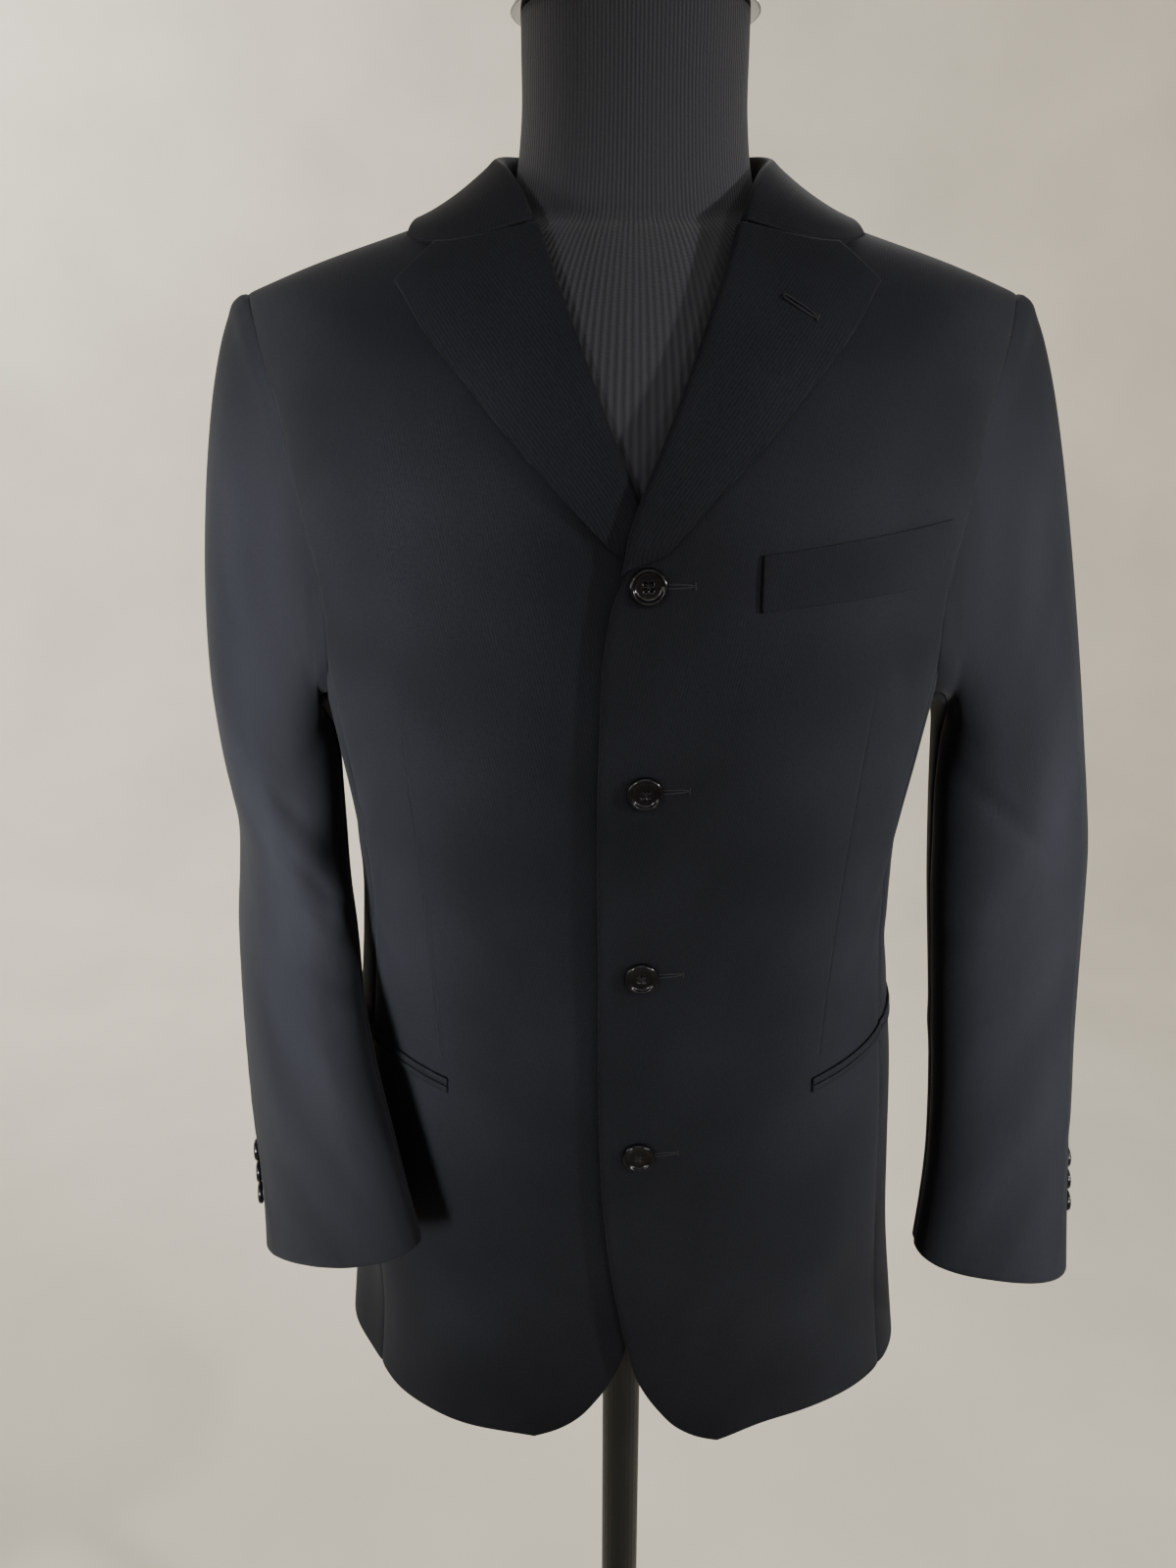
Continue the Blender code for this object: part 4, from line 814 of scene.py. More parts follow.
def front(side):
    """A front, from its edge, roll line and neckline out to the side seam and the armhole.

    One column runs down the dart, and the columns crowd beside it; the dart is a narrow groove.
    """
    level = panel_levels()
    edge_x = through(FRONT_EDGE, 1, level)
    rolled = ease((level - ROLL_FROM) / ROLL_FADE) * (level <= GORGE_LEVEL + ROLL_FADE)
    start = azimuth_at(edge_x + ROLL_ROOM * rolled, level)
    seam = np.radians(through(FRONT_SEAM, 1, level))
    arm = np.radians(through(ARM_FRONT, 1, level))
    stop = np.where(level <= ARM_SEAM_LEVEL, seam, arm)
    down = (DART_TOP[0] - level) / (DART_TOP[0] - DART_FOOT[0])
    dart_x = blend(DART_TOP[1], DART_FOOT[1], np.clip(down, 0, DART_RUN_ON))
    dart = azimuth_at(dart_x, level)
    inner_share = 1 - np.linspace(1, 0, FRONT_COLUMNS[0]) ** DART_CROWDING
    outer_share = np.linspace(0, 1, FRONT_COLUMNS[1])[1:] ** DART_CROWDING
    azimuth = np.concatenate([
        blend(start[:, None], dart[:, None], inner_share),
        blend(dart[:, None], stop[:, None], outer_share),
    ], axis=1)
    levels = np.repeat(level[:, None], azimuth.shape[1], axis=1)
    x = ring_radius(azimuth, levels) * np.sin(azimuth)
    from_dart = (azimuth - dart[:, None]) * FLANK_RADIUS
    opening, closing, closed_over = DART_RUN
    length = ease(down / opening) * (1 - ease((down - closing) / closed_over))
    groove = -DART_DEPTH * np.exp(-np.abs(from_dart / DART_WIDTH) ** DART_SHARPNESS) * length[:, None]
    from_seam = (stop[:, None] - azimuth) * GIRTH_RADIUS
    lift = lap(x, levels, side) + groove + seam_press(from_seam)
    base = np.repeat(edge_x[:, None], azimuth.shape[1], axis=1)
    return panel(f"cloth_front_{side}", azimuth, levels, lift, side, base_u=base)


def side_body(side):
    """The narrow panel under the arm; its top edge is the underarm curve."""
    base = HEM + (ARM_SEAM_LEVEL - HEM) * np.linspace(0, 1, LOWER_ROWS) ** ROW_CROWDING
    share = np.linspace(0, 1, SIDE_GRID)
    start = np.radians(through(FRONT_SEAM, 1, base))
    stop = np.radians(through(BACK_SEAM, 1, base))
    azimuth = blend(start[:, None], stop[:, None], share)
    top = through(UNDERARM, 1, np.degrees(azimuth[-1]))
    stretch = (top - HEM) / (ARM_SEAM_LEVEL - HEM)
    level = HEM + (base[:, None] - HEM) * stretch[None, :]
    beside = np.minimum(azimuth - start[:, None], stop[:, None] - azimuth) * FLANK_RADIUS
    return panel(f"cloth_side_{side}", azimuth, level, seam_press(beside), side)


def back(side):
    """A back, from the side seam and the armhole to the centre back seam and the neckline.

    The top row runs along the ridge from the shoulder tip to the neck point, and from there along
    the collar's fold base down to the centre back; the rows below bend towards it.
    """
    level = panel_levels()
    seam = np.radians(through(BACK_SEAM, 1, level))
    arm = np.radians(through(ARM_BACK, 1, level))
    start = np.where(level <= ARM_SEAM_LEVEL, seam, arm)
    seam_count, neck_count = BACK_COLUMNS
    share = np.concatenate([
        np.linspace(0, SHOULDER_SHARE, seam_count),
        np.linspace(SHOULDER_SHARE, 1, neck_count + 1)[1:],
    ])
    azimuth = blend(start[:, None], math.pi, share)
    levels = np.repeat(level[:, None], azimuth.shape[1], axis=1)
    tip_x = ring_radius(start[-1], RIDGE_LEVEL) * math.sin(start[-1])
    seam_x = np.linspace(tip_x, FRONT_EDGE[-1, 1], seam_count)
    neck_share = np.linspace(NECK_POINT, 1.0, neck_count + 1)[1:]
    neck_angle = through(COLLAR, 2, neck_share)
    fade = ease((neck_share - NECK_POINT) / NECKLINE_FADE)
    neck_level = RIDGE_LEVEL - (neck_angle - 90) / 90 * (RIDGE_LEVEL - DOME_START)
    top_x = np.concatenate([seam_x, through(COLLAR, 1, neck_share)])
    top_level = np.concatenate([np.full(seam_count, RIDGE_LEVEL), neck_level - NECKLINE_DROP * fade])
    top_azimuth = azimuth_at(top_x, top_level, back=True)
    bend = ease((level - ARM_SEAM_LEVEL) / (RIDGE_LEVEL - ARM_SEAM_LEVEL)) ** BACK_BEND
    bend = bend[:, None]
    bent = blend(azimuth, top_azimuth[None], bend)
    bent[:, 0] = azimuth[:, 0]
    raised = levels - (RIDGE_LEVEL - top_level) * bend
    beside = np.minimum(azimuth - start[:, None], math.pi - azimuth) * GIRTH_RADIUS
    return panel(f"cloth_back_{side}", bent, raised, seam_press(beside), side, from_last=True)


def gorge_level(x):
    """Level of the seam between lapel and collar at x: flat, then rising to the collar's corner."""
    base_x, base_angle, edge_x, edge_angle = COLLAR[0, 1:5]
    share = np.clip((x - base_x) / (edge_x - base_x), 0, 1)
    angle = base_angle + (edge_angle - base_angle) * share**GORGE_SAG
    return DOME_START + (RIDGE_LEVEL - DOME_START) * angle / 90


def lapel(side):
    """A lapel: a roll round the front's edge, and the leaf that lies outside.

    Columns inside the roll are turned about the roll line; the rest run to the outer edge with a
    lift that grows towards it. The last row is the gorge up to the notch and the lapel's top edge.
    """
    along = np.linspace(0, 1, LAPEL_ROWS)
    start = LAPEL_START[side]
    roll_level = blend(start, GORGE_LEVEL, along)
    roll_x = through(FRONT_EDGE, 1, roll_level)
    edge_level = blend(start, LAPEL_EDGE[-1, 0], along)
    edge_x = through(LAPEL_EDGE, 1, edge_level)
    narrow = FOOT_WIDTH + (1 - FOOT_WIDTH) * ease(along / FOOT_WIDTH_LENGTH)
    edge_x = roll_x + (edge_x - roll_x) * narrow
    share = np.concatenate([
        np.linspace(LEAF_START, NOTCH_SHARE, LAPEL_COLUMNS[0]),
        np.linspace(NOTCH_SHARE, 1.0, LAPEL_COLUMNS[1])[1:],
    ])
    leaf_x = blend(roll_x[:, None], edge_x[:, None], share)
    leaf_level = blend(roll_level[:, None], edge_level[:, None], share)
    gorge = gorge_level(leaf_x[-1]) - leaf_level[-1]
    notch = np.interp(NOTCH_SHARE, share, gorge)
    bump = np.where(share <= NOTCH_SHARE, gorge, notch * (1 - share) / (1 - NOTCH_SHARE))
    leaf_level = leaf_level + bump * along[:, None] ** TOP_EDGE_POWER
    spread = ease(along * LIFT_GROWTH[0])[:, None] * ease(share * LIFT_GROWTH[1])
    foot = FOOT_SINK + (1 - FOOT_SINK) * ease(along / FOOT_LENGTH)[:, None]
    leaf_lift = blend(LAPEL_LIFT, LAPEL_EDGE_LIFT, spread) * foot
    turns = np.radians(np.linspace(*ROLL_TURNS, ROLL_STEPS))
    grids = []
    for radius, depth in ((ROLL_RADIUS, 0.0), (ROLL_RADIUS - WALL, WALL)):
        roll = roll_x[:, None] - radius * foot * np.cos(turns)
        roll_lift = -WALL / 2 + radius * foot * np.sin(turns)
        x = np.concatenate([roll, leaf_x], axis=1)
        lift = np.concatenate([roll_lift, leaf_lift - depth], axis=1)
        rest = np.repeat(roll_level[:, None], len(turns), axis=1)
        level = np.concatenate([rest, leaf_level], axis=1)
        lift = lift + lap(x, level, side)
        grids.append(lifted(azimuth_at(x, level), level, lift, side))
    facing = unit(grids[0] - grids[1])
    return cloth(f"cloth_lapel_{side}", grids[0], facing, gap=GORGE_GAP)


def upper_point(x, angle):
    """Point and normal of the yoke: the angle runs over the ridge, 0 front and 180 back."""
    behind = angle > 90
    reach = np.where(behind, 180 - angle, angle) / 90
    level = DOME_START + (RIDGE_LEVEL - DOME_START) * reach
    front_azimuth = azimuth_at(x, level)
    back_azimuth = azimuth_at(x, level, back=True)
    azimuth = np.where(behind, back_azimuth, front_azimuth)
    return body(azimuth, level), body_normal(azimuth, level)


def collar():
    """The collar: the stand rises inside the neckline, folds over and falls on to the shoulders."""
    share = np.linspace(0, 1, COLLAR_ROWS) ** COLLAR_CROWDING
    base_x, base_angle, edge_x, edge_angle, stand = (
        through(COLLAR, column, share)[:, None] for column in range(1, 6)
    )
    base, normal = upper_point(base_x, base_angle)
    neckward = unit(-base * np.array([1.0, 1.0, 0.0]))
    up = np.array([0.0, 0.0, 1.0])
    ridge = stand[..., None]
    columns = [base + neckward * -out * NECKWARD + normal * rise + up * ridge * tall
               for out, rise, tall in COLLAR_ROUND]
    fall = np.array(FALL_SHARES)
    power = blend(GORGE_SAG, 1.0, ease(share / NECK_POINT))[:, None]
    x = blend(base_x, edge_x, fall)
    angle = base_angle + (edge_angle - base_angle) * fall**power
    points, normals = upper_point(x, angle)
    drop = stand * (1 - fall) ** STAND_FADE
    leaf = points + normals * COLLAR_LIFT + up * drop[..., None]
    middle = np.concatenate(columns + [leaf], axis=1)
    half = middle[::-1] * np.array([-1.0, 1.0, 1.0])
    middle = np.concatenate([middle, half[1:]])
    middle = filled(filled(middle, COLLAR_FILL[0], 0), COLLAR_FILL[1], 1)
    facing = -grid_facing(middle)
    facing *= math.copysign(1.0, facing[len(facing) // 2, -1, 2])
    return cloth("cloth_collar", middle + facing * WALL / 2, facing, gap=GORGE_GAP)


def armhole_ring():
    """Points of the wearer's left armhole in the panels' own order, and the body's normals."""
    down = np.array(ARM_LEVELS[::-1])
    share = np.linspace(0, 1, SIDE_COLUMNS)[1:-1]
    foot = blend(FRONT_SEAM[-1, 1], BACK_SEAM[-1, 1], share)
    up = np.array(ARM_LEVELS[:-1])
    degrees = np.concatenate([through(ARM_FRONT, 1, down), foot, through(ARM_BACK, 1, up)])
    level = np.concatenate([down, through(UNDERARM, 1, foot), up])
    return np.radians(degrees), level


def bells(table, turn, height):
    """Sum of a sleeve's creases: bells round the tube and along it, slanting."""
    total = np.zeros(np.broadcast(turn, height).shape)
    for middle, at, wide, tall, depth, slant in table:
        around = (np.degrees(turn) - middle + 180) % 360 - 180
        along = (height - at - slant * around) / tall
        total = total + depth * np.exp(-((around / wide) ** 2) - along**2)
    return total


def sleeve_ring(side, height, turn):
    """Point of the hanging sleeve: an oval whose sizes, place and turn come from SLEEVES."""
    out, behind, across, deep, swing = (
        through(SLEEVES[side][::-1], column, height) for column in range(1, 6)
    )
    swing = np.radians(swing)
    fold = bells(CREASES[side], turn, height)
    upper, lower = SLEEVE_SQUARE[side]
    square = blend(lower, upper, ease((height - SQUARE_FROM) / SQUARE_OVER))
    square = np.where(np.sin(turn) > 0, square, 2.0)
    flat = (np.abs(np.cos(turn)) ** square + np.abs(np.sin(turn)) ** square) ** (-1 / square)
    sideways = (across + fold) * np.cos(turn) * flat
    forward = (deep + fold) * np.sin(turn) * flat
    x = out + np.cos(swing) * sideways - np.sin(swing) * forward
    y = behind - np.sin(swing) * sideways - np.cos(swing) * forward
    foot = SLEEVES[side][-1, 0]
    near_cuff = 1 - ease((height - foot) / CUFF_FADE)
    z = height - near_cuff * (CUFF_RISE[side] * (y - behind) + CUFF_DROP[side] * (x - out))
    return np.stack([x, y, z], axis=-1)


def sleeve_grid(side):
    """Outer points of a whole sleeve, rows from the armhole to the cuff, and the columns' turns.

    The head is a set of cubic arcs that leave the armhole square to it and come down on to the
    first ring; the rest are rings read down to the cuff, turning a little on the way.
    """
    degrees, level = armhole_ring()
    start = mirrored(body(degrees * SIGN[side], level), side)
    normal = mirrored(body_normal(degrees * SIGN[side], level), side)
    loop = unit(np.roll(start, -1, axis=0) - np.roll(start, 1, axis=0))
    away = unit(np.cross(normal, loop))
    away *= np.sign(np.sum(away * np.array(OUTWARDS), axis=1))[:, None] + 1e-9
    centre = np.array([start[:, 0].mean(), *ARMHOLE_MIDDLE])
    turn = np.arctan2(-(start[:, 1] - centre[1]), start[:, 2] - centre[2])
    under = ease((np.abs(turn) - math.radians(UNDERARM_FROM)) / math.radians(UNDERARM_OVER))
    rope = ROPE_RISE * np.clip(np.cos(turn), 0, 1)
    leave = unit(away * (1 - under)[:, None] + normal * (under + rope)[:, None])
    even = np.arange(len(turn)) * 2 * math.pi / len(turn)
    even = np.where(even > math.radians(WRAP_TURN), even - 2 * math.pi, even)
    turned_on = np.where(turn - even > math.pi, turn - 2 * math.pi, turn)
    turned_on = np.where(turned_on - even < -math.pi, turned_on + 2 * math.pi, turned_on)
    turn = blend(turned_on, even, SLEEVE_EVENNESS)
    first = SLEEVES[side][0, 0]
    landing = sleeve_ring(side, np.full(turn.shape, first), turn)
    below = sleeve_ring(side, np.full(turn.shape, first - RING_STEP), turn)
    down = unit(below - landing)
    reach = np.linalg.norm(landing - start, axis=1)
    out_pull = (CAP_PULL * reach * (1 - under) + UNDER_PULL * reach * under)[:, None]
    down_pull = (DOWN_PULL * reach)[:, None]
    rows = []
    for t in CAP_STEPS:
        weights = cubic(t)
        rows.append(
            weights[0] * start + weights[1] * leave * out_pull
            + weights[2] * landing + weights[3] * down * down_pull
        )
    foot = SLEEVES[side][-1, 0]
    turns = [turn] * len(CAP_STEPS)
    for step in np.linspace(0, 1, CUFF_STEPS + 1)[1:]:
        height = blend(first, foot, step)
        twisted = turn + math.radians(SLEEVE_TWIST[side]) * ease(step)
        rows.append(sleeve_ring(side, np.full(turn.shape, height), twisted))
        turns.append(twisted)
    return np.stack(rows), np.stack(turns)


def sleeve(side):
    """The top and under sleeve, split at the elbow seam and the forearm seam.

    The grid is filled in with cubic arcs, then pushed along its own normals by the fine creases,
    the pressed line, the swell beside the armhole seam and the dips at the two long seams.
    """
    grid, turns = sleeve_grid(side)
    unwrapped = np.unwrap(turns, axis=1)
    rows_fill, columns_fill = SLEEVE_FILL
    grid = filled(filled(grid, rows_fill, 0), columns_fill, 1, closed=True)
    loop = np.stack([np.cos(unwrapped), np.sin(unwrapped)], -1)
    loop = filled(filled(loop, rows_fill, 0), columns_fill, 1, closed=True)
    turn = np.arctan2(loop[..., 1], loop[..., 0])
    facing = grid_facing(grid, closed=True)
    middle = grid.mean(axis=1, keepdims=True)
    facing *= math.copysign(1.0, np.sum(facing[-1] * (grid[-1] - middle[-1])))
    height = grid[..., 2]
    push = bells(FINE_CREASES[side], turn, height)
    for at, depth, wide in PRESS_LINES[side]:
        around = (np.degrees(turn) - at + 180) % 360 - 180
        long = ease((PRESS_TOP[0] - height) / PRESS_TOP[1])
        long = long * ease((height - PRESS_FOOT[0]) / PRESS_FOOT[1])
        push += depth * np.exp(-np.abs(around / wide)) * long
    walked = run_lengths(grid, 0)
    swell, away_from, over = HEAD_SWELL
    on_top = np.clip(np.cos(turn) + 0.4, 0, 1)
    push += swell * np.exp(-(((walked - away_from) / over) ** 2)) * on_top
    count = grid.shape[1]
    elbow = count + ELBOW_SEAM * columns_fill
    forearm = FOREARM_SEAM * columns_fill
    across = run_lengths(np.concatenate([grid, grid[:, :1]], axis=1), 1)
    for column in (elbow, forearm):
        away = np.abs(across[:, :-1] - across[:, column:column + 1])
        push += seam_press(away, *LONG_SEAM)
    grid = grid + facing * push[..., None]
    tucked = grid[:1] - unit(grid[1:2] - grid[:1]) * TUCK[0] - facing[:1] * TUCK[1]
    grid = np.concatenate([tucked, grid])
    facing = np.concatenate([facing[:1], facing])
    spans = {
        "top": np.arange(elbow, count + forearm + 1) % count,
        "under": np.arange(forearm, elbow + 1),
    }
    return [
        cloth(f"cloth_sleeve_{part}_{side}", mirrored(grid[:, span], side), mirrored(facing[:, span], side))
        for part, span in spans.items()
    ]


def strip(name, x, level, lift, thick, side, azimuth=None):
    """A thin strip on a front: the same points at two lifts, its long edges rounded."""
    if azimuth is None:
        azimuth = azimuth_at(x, level)
    from_seam = (np.radians(through(FRONT_SEAM, 1, level)) - azimuth) * GIRTH_RADIUS
    follow = creased(azimuth, level, side) + seam_press(from_seam)
    outer = lifted(azimuth, level, lift + thick + follow, side)
    return cloth(name, outer, body_normal(azimuth * SIGN[side], level), thick=thick, gap=0.0)


def chest_welt():
    """The chest pocket's welt, slanting up outwards, its lower edge turned up at the outer end."""
    row_count, column_count = WELT_GRID
    share = np.linspace(0, 1, column_count)
    rows = np.linspace(0, 1, row_count)[:, None]
    x = np.repeat(blend(*WELT_X, share)[None], row_count, axis=0)
    top = blend(*WELT_TOP, share)
    turned_up = WELT_TURN_UP * ease((share - WELT_TURN_SPAN[0]) / WELT_TURN_SPAN[1])
    bottom = blend(*WELT_BOTTOM, share) + turned_up
    x = x + WELT_LEAN * (rows - 1) * share[None] ** 3
    level = level_at(x, blend(bottom[None], top[None], rows))
    lift = lap(x, level, "left") + WELT_LIFT + WELT_BELLY * np.sin(math.pi * rows) ** 0.5
    return strip("cloth_chest_welt", x, level, lift, WELT_THICK, "left")


def hip_jets(side):
    """Two narrow jets, each a soft roll, above and below the mouth of a slanted hip pocket."""
    start = azimuth_at(np.array(JET_X), np.array(JET_HEIGHT))
    radius = 0.5 * (BODY[JET_BODY_ROW, 1] + BODY[JET_BODY_ROW, 2])
    row_count, column_count = JET_GRID
    azimuth = start + np.linspace(0, JET_LENGTH, column_count) / radius
    mouth = JET_HEIGHT + JET_SLANT * (azimuth - start) * radius
    rows = np.linspace(0, 1, row_count)[:, None]
    outwards = np.linspace(0, 1, column_count)
    sink = JET_SINK * ease((outwards - JET_SINK_SPAN[0]) / JET_SINK_SPAN[1])
    made = []
    for place, shift in (("upper", SEAM_GAP), ("lower", -SEAM_GAP - JET_WIDTH)):
        level = mouth + shift + JET_WIDTH * rows
        around = np.repeat(azimuth[None], len(rows), axis=0)
        belly = JET_BELLY * np.sin(math.pi * rows) - sink
        made.append(strip(
            f"cloth_jet_{place}_{side}", None, level, JET_LIFT + belly, JET_THICK, side, azimuth=around,
        ))
    return made


def turned_points(radii, heights, sides):
    """A turned closed solid's points: a pole, rings, a pole; radii start and end at 0."""
    angle = np.arange(sides) * 2 * math.pi / sides
    ring = radii[1:-1, None]
    x = ring * np.cos(angle)
    y = ring * np.sin(angle)
    z = np.repeat(heights[1:-1, None], sides, axis=1)
    top = np.array([[0.0, 0.0, heights[0]]])
    foot = np.array([[0.0, 0.0, heights[-1]]])
    return np.concatenate([top, np.stack([x, y, z], -1).reshape(-1, 3), foot])


def turned_faces(rings, sides):
    """Faces of such a solid, pointing out where the profile runs from the top down."""
    number = 1 + np.arange(rings * sides).reshape(rings, sides)
    quads, beside = ring_quads(number)
    last = rings * sides + 1
    top = [[0, int(a), int(b)] for a, b in zip(number[0], beside[0])]
    foot = [[last, int(b), int(a)] for a, b in zip(number[-1], beside[-1])]
    return quads + top + foot


def smooth_profile(section, times):
    """A turned profile filled in with cubic arcs through its section's points."""
    profile = filled(np.array(section), times, 0)
    profile[:, 0] = np.maximum(profile[:, 0], 0.0)
    profile[0, 0] = 0.0
    profile[-1, 0] = 0.0
    return profile[:, 0], profile[:, 1]


def placed(points, place, normal):
    """Local points stood on a place with their Z along a normal and their Y upwards."""
    aside = unit(np.cross(np.array([0.0, 0.0, 1.0]), normal))
    upward = np.cross(normal, aside)
    return place + points @ np.stack([aside, upward, normal])


def button(name, size, place, normal):
    """A four-hole button: a raised rounded rim round a sunk middle, with its holes and thread."""
    radius, height = size
    section = [(out * radius, up * height) for out, up in BUTTON_PROFILE]
    radii, heights = smooth_profile(section, PROFILE_FILL)
    points = turned_points(radii, heights, BUTTON_SIDES)
    upper = points[:, 2] > BUTTON_UPPER * height
    for corner in range(4):
        angle = math.radians(45 + 90 * corner)
        away = np.hypot(
            points[:, 0] - HOLE_SPREAD * radius * math.cos(angle),
            points[:, 1] - HOLE_SPREAD * radius * math.sin(angle),
        )
        sunk = HOLE_DEPTH * height * np.exp(-(away / (HOLE_RADIUS * radius)) ** 4)
        points[:, 2] -= np.where(upper, sunk, 0.0)
    body_points = placed(points, place + normal * SEAM_GAP, normal)
    thing = mesh_piece(name, body_points, turned_faces(len(radii) - 2, BUTTON_SIDES))
    thread = []
    for start in (45, 135):
        ends = [HOLE_SPREAD * radius * np.array([math.cos(math.radians(start + t)),
                                                 math.sin(math.radians(start + t))])
                for t in (0, 180)]
        t = np.linspace(0, 1, SEWN_STEPS)
        flat = blend(ends[0][None], ends[1][None], t[:, None])
        rise = BUTTON_MIDDLE * height + SEWN_LIFT + SEWN_ARCH * np.sin(math.pi * t)
        rise = rise + SEWN_OVER * (start == 135)
        path = np.concatenate([flat, rise[:, None]], axis=1)
        thread.append(placed(path, place + normal * SEAM_GAP, normal))
    upright = np.repeat(normal[None], SEWN_STEPS, axis=0)
    sewn = tubes(f"{name}_thread", thread, [upright] * 2, SEWN_RADIUS)
    return thing, sewn


def tubes(name, paths, normals, radius, sides=8):
    """Threads as one mesh: round each path a ring of points, between its normal and its side."""
    all_points = []
    all_faces = []
    offset = 0
    for path, normal in zip(paths, normals):
        run = unit(np.gradient(path, axis=0))
        aside = unit(np.cross(run, normal))
        upward = np.cross(aside, run)
        angle = np.arange(sides) * 2 * math.pi / sides
        thick = radius if np.ndim(radius) == 0 else radius[:, None, None]
        ring = aside[:, None] * np.cos(angle)[:, None] + upward[:, None] * np.sin(angle)[:, None]
        points = path[:, None] + ring * thick
        rows = len(path)
        number = offset + np.arange(rows * sides).reshape(rows, sides)
        all_faces += ring_quads(number)[0]
        all_faces.append(number[0].tolist())
        all_faces.append(number[-1][::-1].tolist())
        all_points.append(points.reshape(-1, 3))
        offset += rows * sides
    return mesh_piece(name, np.concatenate(all_points), all_faces)


def front_surface(x, z, lift, side="left"):
    """Point and normal on a front at x and height z, at a lift off its cloth."""
    level = level_at(x, z)
    azimuth = azimuth_at(x, level)
    point = lifted(azimuth, level, lap(x, level, side) + lift, side)
    return point, body_normal(azimuth * SIGN[side], level)


def buttonhole(name, x, z, tilt=0.0, length=BUTTONHOLE, lift=0.0002, tack=0.0036):
    """A worked buttonhole: close stitches round a slit, a round eye and a bar tack at its end."""
    t = np.linspace(0, 2 * math.pi, SLIT_STEPS)
    share = 0.5 * (1 - np.cos(t))
    half = SLIT_HALF + EYE_SWELL[0] * np.exp(-((share / EYE_SWELL[1]) ** 2))
    along = length * share
    upward = half * np.sin(t)
    lean = math.radians(tilt)
    px = x + along * math.cos(lean) - upward * math.sin(lean)
    pz = z + along * math.sin(lean) + upward * math.cos(lean)
    path, normal = front_surface(px, pz, lift)
    thick = THREAD * (1 + STITCH_SHARE * np.cos(t * STITCH_COUNT))
    end = length + BAR_AWAY
    s = np.linspace(-0.5, 0.5, BAR_STEPS)
    bx = x + end * math.cos(lean) - tack * s * math.sin(lean)
    bz = z + end * math.sin(lean) + tack * s * math.cos(lean)
    bar, bar_normal = front_surface(bx, bz, lift + BAR_OVER)
    ring = tubes(f"{name}_ring", [path], [normal], thick)
    cross = tubes(f"{name}_bar", [bar], [bar_normal], THREAD * BAR_THICK)
    return ring, cross


def front_buttons():
    """The four buttons down the left front with their threads and worked buttonholes."""
    made = []
    for number, height in enumerate(BUTTON_LEVELS, start=1):
        level = np.array(height)
        x = np.array(BUTTON_X)
        azimuth = azimuth_at(x, level)
        point = lifted(azimuth, level, lap(x, level, "left"), "left")
        normal = body_normal(azimuth, level)
        body_piece, thread = button(f"fine_button_{number}", FRONT_BUTTON, point, normal)
        hole = buttonhole(f"buttonhole_{number}", BUTTON_X + BUTTONHOLE_START, height)
        made.append((f"button_{number}", body_piece, (thread, *hole)))
    return made


def cuff_buttons(side):
    """Three touching buttons on the top sleeve, just in front of the elbow seam."""
    grid, _ = sleeve_grid(side)
    edge = grid[::-1, [ELBOW_SEAM + 1, ELBOW_SEAM + 2]]
    middle = edge.mean(axis=1)
    run = np.concatenate([[0.0], np.cumsum(np.linalg.norm(np.diff(middle, axis=0), axis=1))])
    made = []
    for number in range(3):
        at = CUFF_BUTTON_FIRST + CUFF_BUTTON_STEP * number
        row = np.searchsorted(run, at) - 1
        share = (at - run[row]) / (run[row + 1] - run[row])
        point = blend(middle[row], middle[row + 1], share)
        across = edge[row, 1] - edge[row, 0]
        normal = unit(np.cross(across, middle[row + 1] - middle[row]))
        normal = normal * math.copysign(1.0, normal[0])
        name = f"cuff_button_{side}_{number + 1}"
        body_piece, thread = button(
            f"fine_{name}", CUFF_BUTTON,
            mirrored(point + normal * CUFF_BUTTON_LIFT, side), mirrored(normal, side),
        )
        made.append((name, body_piece, (thread,)))
    return made


def form_ring(level, azimuth):
    """A ring of the dress form below the dome: the body's ring less the clearance."""
    radius = ring_radius(azimuth, level) - through(FORM_CLEARANCE, 1, level)
    return radius * np.sin(azimuth), -radius * np.cos(azimuth)


def form_height(x, y):
    """Height of the form's shoulders over a point of its plan, just under the cloth's ridge."""
    front_depth = BODY[FORM_BODY_ROW, 2] - through(FORM_CLEARANCE, 1, DOME_START)
    back_depth = BODY[FORM_BODY_ROW, 3] - through(FORM_CLEARANCE, 1, DOME_START)
    share = np.clip(np.abs(x) / FORM_SHOULDER, 0, 1)
    plan = (1 - share**SQUARENESS) ** (1 / SQUARENESS)
    reach = np.where(y < SEAM_Y, front_depth * plan + SEAM_Y, back_depth * plan - SEAM_Y)
    away = np.clip(np.abs(y - SEAM_Y) / np.maximum(reach, 1e-6), 0, 1)
    arm_round = (1 - share**FORM_SHOULDER_POWER) ** (1 / FORM_SHOULDER_POWER)
    top = ridge_height(x) - FORM_SEAT - DOME_START
    drop = np.where(y < SEAM_Y, *FORM_DROP) * np.sin(math.pi * away)
    return DOME_START + top * np.sqrt(1 - away**2) * arm_round - drop


